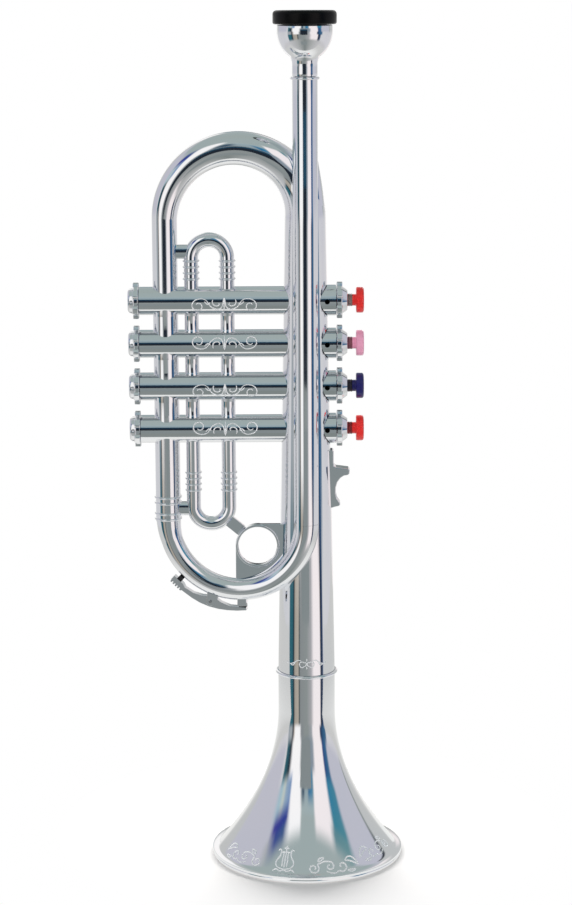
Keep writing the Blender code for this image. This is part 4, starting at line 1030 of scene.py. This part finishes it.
# %% Cheeks and seat
CHEEK_DEPTH, CHEEK_FRONT, CHEEK_BACK = 1.2, -3.5, 2.3
POST_START, POST_END, ROOT = -0.4, -6.8, -1.5
cheek_points = [(13.5, ROOT), (22.5, ROOT), (20.4, 4.2), (19, 4.8), (17, 4.8), (15.6, 4.2)]
back_cheek = swept_plate("pivot_cheek", cheek_points, CHEEK_BACK, CHEEK_DEPTH, 0.25)
front_cheek = copied(back_cheek, swing_normal * (CHEEK_FRONT - CHEEK_BACK) * MM)
post_sides = []
for foot, side, depth in ((1.4, -2.2, 4.4), (2.7, -2.9, 0.65)):
    post_points = [(POST_START, ROOT), (POST_START, foot), (POST_END, foot), (POST_END, ROOT)]
    post_sides.append(swept_plate("seat_post", post_points, side, depth, 0.2))
seat = joined(*post_sides, back_cheek, front_cheek)
seat.name = "water_key_seat"
dressed(seat, chrome, flat=True)
print(f"seat and cheeks: {len(seat.data.polygons)} faces")

# %% [markdown]
# ## Scrollwork
#
# The casings, the bell's foot and its throat carry scrolls in low relief. Each stroke is drawn flat, in
# millimetres, as a few points with a smooth line through them. It is then laid on the round surface by a
# placing function and given a thin round body that fades out at both ends.

# %% Strokes and their placing
def flowing(points, steps=7):
    """A smooth line through flat points."""
    padded = [points[0]] + list(points) + [points[-1]]
    line = []
    for a, b, c, d in zip(padded, padded[1:], padded[2:], padded[3:]):
        for i in range(steps):
            t = i / steps
            early, middle = -t + 2 * t * t - t ** 3, 2 - 5 * t * t + 3 * t ** 3
            weights = (early, middle, t + 4 * t * t - 3 * t ** 3, t ** 3 - t * t)
            line.append(tuple(sum(w * p[k] for w, p in zip(weights, (a, b, c, d))) / 2 for k in (0, 1)))
    return line + [tuple(points[-1])]


def curl(x, y, start_radius, end_radius, start, end, steps=9):
    """Points of a spiral, with angles in degrees."""
    points = []
    for i in range(steps + 1):
        share = i / steps
        radius = start_radius + (end_radius - start_radius) * share
        angle = math.radians(start + (end - start) * share)
        points.append((x + radius * math.cos(angle), y + radius * math.sin(angle)))
    return points


def flipped(strokes):
    """The same strokes, left for right."""
    return [[(-x, y) for x, y in stroke] for stroke in strokes]


def relief(name, strokes, placing, thickness):
    """Lays strokes on a surface as thin tubes, joined into one piece."""
    pieces = []
    for stroke in strokes:
        line = flowing(stroke)
        last = len(line) - 1
        swell = [math.sin(math.pi * i / last) ** 0.5 for i in range(last + 1)]
        radii = [thickness * MM * (0.55 + 0.45 * share) for share in swell]
        pieces.append(tube(name, [placing(x, y) for x, y in line], radii, 8))
    print(f"{name}: {len(strokes)} strokes")
    return joined(*pieces)


# %% [markdown]
# ## The casings' scrolls
#
# Each casing has a pair of scrolls that meet at a small leaf, upright and upside down in turn. Half of it
# is drawn and flipped, and the first two scrolls are copied to the other two casings.

# %% Casing scrolls
SCROLL_X, CASING_R, SCROLL_R = -39.4, 6.8, 6.86
half_scroll = [
    [(-8.6, 0.9), (-10.4, 1.7), (-12.4, 1.6)] + curl(-12.7, -1.9, 3.2, 1.2, 115, 500, 11),
    [(-8.6, 0.9), (-7.7, -0.4), (-6.6, -2.0), (-5.0, -3.2), (-3.1, -3.7), (-1.5, -2.9), (-0.7, -1.2),
     (-0.4, 0.7), (0, 2.2)],
    [(-5.5, 1.3), (-5.7, -0.1), (-5.0, -1.4), (-3.4, -1.8), (-2.3, -1.1), (-2.7, -0.3)],
    [(-9.6, 0.3), (-8.0, -1.0), (-6.9, -0.2)],
]
leaf = [(0, 2.2), (0, 0.5), (0, -2.0), (0, -4.6)]
casing_strokes = half_scroll + flipped(half_scroll) + [leaf]


def on_casing(height, flip):
    """A placing on the front of the casing at a height, upside down where flip is -1."""
    def placing(x, y):
        turn = y * flip / CASING_R
        return at(x + SCROLL_X, -SCROLL_R * math.cos(turn), height + SCROLL_R * math.sin(turn))
    return placing


for number, flip in ((0, 1), (1, -1)):
    scroll = relief("casing_scroll", casing_strokes, on_casing(VALVE_HEIGHTS[number], flip), 0.3)
    dressed(copied(scroll, VALVE_STEP * 2), satin_chrome)
    dressed(scroll, satin_chrome)

# %% [markdown]
# ## The bell's ornaments
#
# Round the bell's foot run vines and a small lyre, all of them drawn here for this toy. They lie on the
# flare, so their placing goes by the angle round the bell and asks the flare for its radius at each height.

# %% Bell scrolls
def on_bell(middle, height):
    """A placing round a point of the flare, given by degrees from the front and a height."""
    def placing(x, y):
        z = height + y * 0.76
        radius = flare_radius(z) + 0.06
        turn = math.radians(middle) + x / flare_radius(height)
        return at(radius * math.sin(turn), -radius * math.cos(turn), z)
    return placing


vine = [
    curl(-9.8, -0.2, 0.7, 2.9, -60, 400) + [(-6.2, 2.4), (-4.2, 3.1)] + curl(-1.7, 0.4, 2.6, 0.6, 100, -280),
    [(-3.6, -2.0), (-1.4, -3.2), (1.0, -3.3)] + curl(4.6, -0.2, 3.1, 0.6, 225, 580),
    [(7.0, 2.2), (8.4, 3.8), (10.6, 3.9), (12.6, 2.0), (13.6, -1.0)],
    [(7.0, 2.2), (9.2, 1.9), (11.2, 0.8), (13.6, -1.0)],
    [(-7.6, 3.2), (-6.6, 4.9), (-4.4, 5.0), (-5.6, 3.7), (-7.6, 3.2)],
    [(6.8, -2.8), (8.8, -3.9), (11.0, -3.1), (8.8, -2.7), (6.8, -2.8)],
]
lyre_side = [
    curl(-4.1, 5.0, 0.5, 1.3, 180, -20, 6)
    + [(-3.0, 2.8), (-3.6, 0.8), (-4.7, -1.6), (-4.6, -4.0), (-3.0, -5.8), (0, -6.6)],
    [(-1.3, 4.2), (-1.3, 1.0), (-1.3, -2.0), (-1.3, -5.0)],
    [(-3.0, 4.0), (-1.5, 4.4), (0, 4.5)],
    [(-5.6, -8.2), (-4.0, -6.8), (-2.0, -7.7), (0, -7.0)],
    [(-1.3, 6.6), (-0.6, 7.3), (0, 7.5)],
]
lyre = lyre_side + flipped(lyre_side) + [[(0, 4.5), (0, 6.4), (0, 8.8)], [(0, 4.2), (0, 0), (0, -5.4)]]
LYRE_WIDTH, LYRE_HEIGHT = 0.9, 0.82
slim_lyre = [[(LYRE_WIDTH * x, LYRE_HEIGHT * y) for x, y in stroke] for stroke in lyre]
bell_reliefs = [
    relief("bell_lyre", slim_lyre, on_bell(-16, 9.2), 0.4),
    relief("bell_vine", vine, on_bell(17, 6.0), 0.44),
    relief("bell_vine", flipped(vine), on_bell(-50, 6.6), 0.3),
    relief("bell_vine", flipped(vine), on_bell(58, 8.2), 0.3),
]
bell_scroll = joined(*bell_reliefs)
dressed(bell_scroll, satin_chrome)

# %% [markdown]
# ## The throat's ornament
#
# Above the bell's bead sits a small symmetrical scroll. It is made like the others, on the bell pipe this
# time.

# %% Throat scroll
THROAT_SCROLL_Z, THROAT_SCROLL_R = 101.6, 14.0


def on_pipe(x, y):
    """A place on the front of the bell pipe, just above the bead."""
    z = THROAT_SCROLL_Z + y
    turn = x / THROAT_SCROLL_R
    radius = pipe_radius(z) + 0.05
    return at(radius * math.sin(turn), -radius * math.cos(turn), z)


throat_half = [
    [(-0.9, 0.5), (-2.0, 1.0), (-3.3, 0.7), (-3.6, -0.8), (-2.4, -1.9), (-1.1, -1.1)],
    [(-2.9, 1.7), (-4.8, 1.6), (-6.6, 0.4), (-8.6, -0.3), (-10.6, 0.4)],
    [(-5.6, 1.3), (-7.0, -0.9), (-8.6, -0.3)],
    [(-0.8, 1.0), (0.9, -1.3)],
]
throat = throat_half + flipped(throat_half)
throat += [[(0, 2.7), (0, 2.0), (0, 1.4)], [(0, -2.7), (0, -2.0), (0, -1.4)]]
dressed(relief("throat_scroll", throat, on_pipe, 0.26), satin_chrome)

# %% [markdown]
# ## The room
#
# Chrome shows its surroundings, so the room is part of the likeness: two tall white panels beside the
# camera, the left one tan at its foot, a dim room between them, pale lavender walls at the sides, and two
# more panels and a dark post behind the trumpet. Real walls could be built. Painting them on the world by
# direction is lighter, and every streak has its own place. First come the two angles of a direction: how
# far round, and how high.

# %% Directions
world = bpy.data.worlds.new("studio_room")
bpy.context.scene.world = world
world.use_nodes = True
nodes, links = world.node_tree.nodes, world.node_tree.links
nodes.clear()
direction = nodes.new("ShaderNodeTexCoord")
split = nodes.new("ShaderNodeSeparateXYZ")
links.new(direction.outputs["Generated"], split.inputs["Vector"])


def world_math(operation, first, second=None):
    """A sum on numbers or sockets."""
    node = nodes.new("ShaderNodeMath")
    node.operation = operation
    for socket, value in zip(node.inputs, (first, second)):
        if isinstance(value, (int, float)):
            socket.default_value = value
        elif value is not None:
            links.new(value, socket)
    return node.outputs[0]


front = world_math("MULTIPLY", split.outputs["Y"], -1.0)
azimuth = world_math("ARCTAN2", split.outputs["X"], front)
turn_share = world_math("ADD", world_math("DIVIDE", azimuth, 2 * math.pi), 0.5)
rise = world_math("ARCSINE", split.outputs["Z"])
print(f"room: {len(nodes)} nodes give a direction its two angles")

# %% [markdown]
# ## The walls, band by band
#
# What is seen at one height of the room is a ramp of colours round it. Seven such bands, from the ground up
# to the top of the walls, are enough, because the trumpet's curves press each of them into a few thin
# streaks.

# %% Bands
def band_ramp(stops):
    """A ramp round the room from (degrees, colour) stops, with 0 behind the camera and right positive."""
    node = nodes.new("ShaderNodeValToRGB")
    ramp = node.color_ramp
    ramp.interpolation = "LINEAR"
    while len(ramp.elements) < len(stops):
        ramp.elements.new(0.5)
    for element, (degrees, colour) in zip(ramp.elements, stops):
        element.position = degrees / 360 + 0.5
        element.color = (*colour, 1)
    links.new(turn_share, node.inputs["Fac"])
    return node.outputs["Color"]


GROUND_EDGE, GROUND_SIDE, GROUND_FRONT = (0.62, 0.62, 0.60), (0.66, 0.65, 0.66), (0.48, 0.49, 0.48)
MIST, HAZE, MOSS, DOME = (0.34, 0.43, 0.46), (0.40, 0.49, 0.50), (0.46, 0.50, 0.48), (0.40, 0.46, 0.44)
PANEL, PINK_PANEL, PALE = (1.10, 1.08, 1.06), (1.05, 0.97, 0.96), (0.74, 0.74, 0.75)
LAVENDER, INK, TEAL = (0.59, 0.59, 0.66), (0.02, 0.03, 0.045), (0.03, 0.14, 0.18)
STONE, SAGE, BAND = (0.30, 0.33, 0.32), (0.40, 0.47, 0.46), (0.60, 0.61, 0.60)
ground = band_ramp([
    (-180, GROUND_EDGE), (-90, GROUND_SIDE), (-40, GROUND_FRONT), (0, (0.24, 0.27, 0.26)),
    (40, GROUND_FRONT), (90, GROUND_SIDE), (180, GROUND_EDGE),
])
room_low = band_ramp([
    (-180, STONE), (-173, STONE), (-169, PANEL), (-157, PANEL), (-151, PALE), (-100, (0.70, 0.70, 0.72)),
    (-78, PALE), (-74, TEAL), (-62, TEAL), (-54, INK), (-50, (0.42, 0.38, 0.32)),
    (-35, (0.50, 0.45, 0.38)), (-31, (0.06, 0.08, 0.08)), (-26, (0.28, 0.30, 0.30)), (0, STONE),
    (18, (0.46, 0.45, 0.46)), (29, PINK_PANEL), (56, PINK_PANEL), (60, INK), (69, (0.03, 0.06, 0.14)),
    (74, PALE), (110, (0.72, 0.71, 0.74)), (150, PALE), (156, PINK_PANEL), (168, PINK_PANEL),
    (172, STONE), (180, STONE),
])
room_near = band_ramp([
    (-180, INK), (-175, STONE), (-169, PANEL), (-157, PANEL), (-151, PALE), (-100, (0.68, 0.68, 0.70)),
    (-78, PALE), (-73, (0.36, 0.40, 0.43)), (-62, (0.42, 0.45, 0.46)), (-55, INK),
    (-50, (0.62, 0.56, 0.50)), (-46, PANEL), (-28, PANEL), (-22, (0.26, 0.28, 0.29)), (-8, STONE),
    (4, STONE), (18, (0.40, 0.42, 0.44)), (24, PINK_PANEL), (50, PINK_PANEL), (54, (0.02, 0.04, 0.10)),
    (66, (0.04, 0.12, 0.24)), (76, (0.06, 0.16, 0.28)), (81, PALE), (110, (0.70, 0.69, 0.72)),
    (150, PALE), (156, PINK_PANEL), (168, PINK_PANEL), (174, STONE), (180, INK),
])
room_level = band_ramp([
    (-180, INK), (-175, STONE), (-169, PANEL), (-158, PANEL), (-152, BAND), (-138, BAND),
    (-132, LAVENDER), (-84, LAVENDER), (-76, PALE), (-72, TEAL), (-58, INK), (-50, PANEL), (-25, PANEL),
    (-19, (0.28, 0.31, 0.32)), (-8, (0.24, 0.28, 0.29)), (4, (0.22, 0.27, 0.30)),
    (20, (0.30, 0.35, 0.40)), (27, PINK_PANEL), (54, PINK_PANEL), (58, (0.03, 0.08, 0.24)),
    (70, (0.05, 0.16, 0.30)), (76, LAVENDER), (121, LAVENDER), (123.5, STONE), (125, STONE), (127, BAND),
    (156, BAND), (168, PINK_PANEL), (174, STONE), (180, INK),
])
room_high = band_ramp([
    (-180, MIST), (-174, MIST), (-170, PANEL), (-157, PANEL), (-152, BAND), (-138, BAND),
    (-132, LAVENDER), (-80, LAVENDER), (-70, (0.40, 0.58, 0.66)), (-62, (0.60, 0.66, 0.60)),
    (-57, (0.34, 0.46, 0.58)), (-46, (0.22, 0.34, 0.56)), (-42, PANEL), (-19, PANEL),
    (-14, (0.10, 0.16, 0.20)), (-9, (0.02, 0.06, 0.12)), (-5.5, MIST), (1, MIST), (4, (0.03, 0.17, 0.33)),
    (12, (0.05, 0.24, 0.42)), (16, (0.24, 0.36, 0.42)), (19, PINK_PANEL), (52, PINK_PANEL),
    (58, (0.04, 0.24, 0.38)), (74, (0.07, 0.26, 0.36)), (80, LAVENDER), (121, LAVENDER), (124, INK),
    (126, INK), (129, BAND), (174, BAND), (180, MIST),
])
room_upper = band_ramp([
    (-180, HAZE), (-172, HAZE), (-168, PANEL), (-157, PANEL), (-152, BAND), (-140, BAND),
    (-134, LAVENDER), (-76, LAVENDER), (-69, (0.04, 0.04, 0.32)), (-47, (0.03, 0.05, 0.30)), (-40, PANEL),
    (-17, PANEL), (-13, (0.42, 0.50, 0.50)), (0, HAZE), (15, (0.40, 0.50, 0.51)), (19, PINK_PANEL),
    (52, PINK_PANEL), (58, (0.05, 0.25, 0.34)), (76, (0.09, 0.28, 0.34)), (82, LAVENDER), (123, LAVENDER),
    (125, INK), (131, INK), (134, BAND), (152, BAND), (157, PINK_PANEL), (168, PINK_PANEL), (172, HAZE),
    (180, HAZE),
])
room_top = band_ramp([
    (-180, MOSS), (-146, BAND), (-136, LAVENDER), (-84, LAVENDER), (-76, (0.48, 0.50, 0.52)),
    (-64, (0.05, 0.08, 0.30)), (-50, (0.06, 0.12, 0.28)), (-38, PANEL), (-17, PANEL), (-13, SAGE),
    (15, SAGE), (20, PINK_PANEL), (48, PINK_PANEL), (56, (0.12, 0.28, 0.32)), (76, (0.16, 0.32, 0.34)),
    (84, LAVENDER), (140, LAVENDER), (180, MOSS),
])
print(f"room: {len(nodes)} nodes with its seven bands")

# %% [markdown]
# ## One room from the bands
#
# The bands fade into each other as the view goes up, and a plain dome closes the room. The camera itself
# sees white, and matt pieces get a little less of the room's light than the chrome mirrors, so shadows stay
# visible.

# %% Room
def world_blend(factor, first, second):
    """Fades from one colour or socket to another."""
    node = nodes.new("ShaderNodeMix")
    node.data_type = "RGBA"
    links.new(factor, node.inputs["Factor"])
    for key, value in (("A", first), ("B", second)):
        if isinstance(value, tuple):
            node.inputs[key].default_value = (*value, 1)
        else:
            links.new(value, node.inputs[key])
    return node.outputs["Result"]


def rise_between(start, end):
    """A soft step between two heights of view, in degrees."""
    node = nodes.new("ShaderNodeMapRange")
    node.interpolation_type = "SMOOTHSTEP"
    node.inputs["From Min"].default_value = math.radians(start)
    node.inputs["From Max"].default_value = math.radians(end)
    links.new(rise, node.inputs["Value"])
    return node.outputs["Result"]


below = world_blend(rise_between(-34, -24), ground, room_low)
near = world_blend(rise_between(-13, -9), below, room_near)
level = world_blend(rise_between(-6, 1), near, room_level)
high = world_blend(rise_between(13, 21), level, room_high)
above = world_blend(rise_between(27, 37), high, room_upper)
top = world_blend(rise_between(36, 41), above, room_top)
cornice = world_blend(rise_between(41, 50), top, SAGE)
room = world_blend(rise_between(62, 85), cornice, DOME)
WHITE, MATT_LIGHT = (1.0, 1.0, 1.0), 0.6
background = nodes.new("ShaderNodeBackground")
paths = nodes.new("ShaderNodeLightPath")
seen = world_blend(paths.outputs["Is Camera Ray"], room, WHITE)
links.new(seen, background.inputs["Color"])
room_light = nodes.new("ShaderNodeMapRange")
room_light.inputs["To Min"].default_value = 1.0
room_light.inputs["To Max"].default_value = MATT_LIGHT
links.new(paths.outputs["Is Diffuse Ray"], room_light.inputs["Value"])
links.new(room_light.outputs["Result"], background.inputs["Strength"])
world_output = nodes.new("ShaderNodeOutputWorld")
links.new(background.outputs["Background"], world_output.inputs["Surface"])
print(f"room: {len(nodes)} nodes in all")

# %% [markdown]
# ## The floor
#
# A sheet of pale paper takes the shadow. Round the trumpet it is a matt surface with a faint warm glow of
# its own, and further out it fades into the white background, so that no edge shows. In the plating it shows
# as a painted reflection: a glow, pale near the trumpet and greyer further out, instead of lit paper.

# %% Floor
FLOOR_SIZE, FLOOR_MIDDLE = (1.0, 0.63, 1), (BELL_X, 0.205, -0.0002)
PAPER, PAPER_SHADE = (0.95, 0.92, 0.905), (0.93, 0.90, 0.885)
SHADOW_MIDDLE, SHADOW_INSIDE, SHADOW_OUTSIDE = (-BELL_X, -0.03, 0), 0.082, 0.13
nothing_selected()
bpy.ops.mesh.primitive_plane_add(size=1, location=(0, 0, 0))
floor = bpy.context.object
floor.name = "floor"
bpy.ops.object.mode_set(mode="EDIT")
bpy.ops.transform.resize(value=FLOOR_SIZE)
bpy.ops.transform.translate(value=FLOOR_MIDDLE)
bpy.ops.object.mode_set(mode="OBJECT")
floor_material, nodes, links, shader = new_material("pale_floor", (0.93, 0.93, 0.93), 0.0, 0.7)
mottle = noise(nodes, links, 3, 2)
links.new(mixed(nodes, links, mottle.outputs["Fac"], PAPER, PAPER_SHADE), shader.inputs["Base Color"])
place = nodes.new("ShaderNodeTexCoord")
paper = nodes.new("ShaderNodeVectorMath")
paper.operation = "MULTIPLY_ADD"
paper.inputs[1].default_value = (1, 1, 0)
paper.inputs[2].default_value = SHADOW_MIDDLE
links.new(place.outputs["Object"], paper.inputs[0])
reach = nodes.new("ShaderNodeVectorMath")
reach.operation = "LENGTH"
links.new(paper.outputs["Vector"], reach.inputs[0])
outskirts = ranged(nodes, links, reach.outputs["Value"], 0.0, 1.0, SHADOW_INSIDE, SHADOW_OUTSIDE)
shader.inputs["Emission Color"].default_value = (1.0, 0.90, 0.86, 1)
shader.inputs["Emission Strength"].default_value = 0.04
glow = nodes.new("ShaderNodeEmission")
glow.inputs["Color"].default_value = (1, 1, 1, 1)
fade = nodes.new("ShaderNodeMixShader")
links.new(outskirts, fade.inputs["Fac"])
links.new(shader.outputs["BSDF"], fade.inputs[1])
links.new(glow.outputs["Emission"], fade.inputs[2])
# What the plating mirrors of the floor is a painted reflection: a glow that turns greyer with distance.
mirrored = nodes.new("ShaderNodeEmission")
mirrored.inputs["Color"].default_value = (1.0, 1.0, 0.97, 1)
pale_to_grey = ranged(nodes, links, reach.outputs["Value"], 0.95, 0.68, 0.145, 0.345)
links.new(pale_to_grey, mirrored.inputs["Strength"])
light_path = nodes.new("ShaderNodeLightPath")
seen_or_mirrored = nodes.new("ShaderNodeMixShader")
links.new(light_path.outputs["Is Glossy Ray"], seen_or_mirrored.inputs["Fac"])
links.new(fade.outputs["Shader"], seen_or_mirrored.inputs[1])
links.new(mirrored.outputs["Emission"], seen_or_mirrored.inputs[2])
links.new(seen_or_mirrored.outputs["Shader"], nodes["Material Output"].inputs["Surface"])
floor.data.materials.append(floor_material)
print(f"floor: {FLOOR_SIZE[0]} by {FLOOR_SIZE[1]} m")

# %% [markdown]
# ## Cards and a screen
#
# A photographer of shiny things stands dark cards round them, because a tube with no dark line in it looks
# like white plastic. Two cards in front put such lines into the casings, the bow and the leadpipe. A small
# grey screen stands nearer and low down, and keeps them out of the bell. It glows with the grey of the room
# behind it, a painted reflection. None of the three is seen by the camera, lights matt pieces or throws a
# shadow.

# %% Cards and screen
CARD_THICKNESS = Vector((0, -0.002, 0))


def studio_card(name, width, low, top, y, colours, glowing=False):
    """An upright card in front of the trumpet, which the plating mirrors and the camera never sees."""
    left, right = width
    corners = [(left, y, low), (right, y, low), (right, y, top), (left, y, top)]
    card = plate(name, [Vector(corner) for corner in corners], CARD_THICKNESS)
    material, nodes, links, shader = new_material(name, colours[0], 0.0, 0.8)
    shader.inputs["Specular IOR Level"].default_value = 0.0
    weave = noise(nodes, links, 8, 2)
    colour = mixed(nodes, links, weave.outputs["Fac"], *colours)
    if glowing:
        shader.inputs["Base Color"].default_value = (0, 0, 0, 1)
        shader.inputs["Emission Strength"].default_value = 1.0
    links.new(colour, shader.inputs["Emission Color" if glowing else "Base Color"])
    card.data.materials.append(material)
    card.visible_camera = False
    card.visible_diffuse = False
    card.visible_shadow = False
    print(f"{name}: {right - left:.2f} m wide, {top - low:.2f} m high")


CARD_WIDTH, CARD_Y = (BELL_X - 0.42, BELL_X + 0.24), -1.25
SCREEN_WIDTH, SCREEN_Y = (BELL_X - 0.105, BELL_X + 0.06), -0.30
NEAR_BLACK = ((0.015, 0.022, 0.036), (0.025, 0.035, 0.05))
DEEP_BLUE = ((0.015, 0.05, 0.09), (0.03, 0.11, 0.18))
SCREEN_GREY = ((0.24, 0.28, 0.28), (0.28, 0.31, 0.31))
studio_card("dark_card", CARD_WIDTH, 0.11, 0.50, CARD_Y, NEAR_BLACK)
studio_card("blue_card", CARD_WIDTH, 0.50, 0.66, CARD_Y, DEEP_BLUE)
# The grey screen glows: a painted reflection of the room's grey.
studio_card("grey_screen", SCREEN_WIDTH, 0.055, 0.182, SCREEN_Y, SCREEN_GREY, glowing=True)

# %% [markdown]
# ## The lamps
#
# The world already gives soft light from all sides. A large panel above and behind draws the shadow in
# front of the bell, one at the left front brightens what faces the camera, and a small weak one helps the
# keys. The plating doesn't mirror them, because the panels that it shows are painted on the world.

# %% Lamps
def panel_lamp(name, place, target, size, power, spread=180):
    """A lamp that looks at a target: its size in metres, its power in watts and its spread in degrees."""
    light = bpy.data.lights.new(name, "AREA")
    light.shape = "RECTANGLE"
    light.size, light.size_y = size
    light.energy = power
    light.spread = math.radians(spread)
    lamp = bpy.data.objects.new(name, light)
    bpy.context.scene.collection.objects.link(lamp)
    lamp.location = place
    lamp.rotation_euler = (Vector(target) - Vector(place)).to_track_quat("-Z", "Y").to_euler()
    lamp.visible_glossy = False
    print(f"{name}: {power} W")


panel_lamp("back_panel", (0.0, 1.1, 0.72), (0, 0, 0.0), (1.2, 0.4), 26)
panel_lamp("front_panel", (-0.5, -1.2, 0.55), (0, 0, 0.25), (0.7, 0.7), 6.4)
panel_lamp("key_light", (0.35, -0.6, 0.25), (0.066, 0, 0.25), (0.2, 0.2), 0.03, 30)
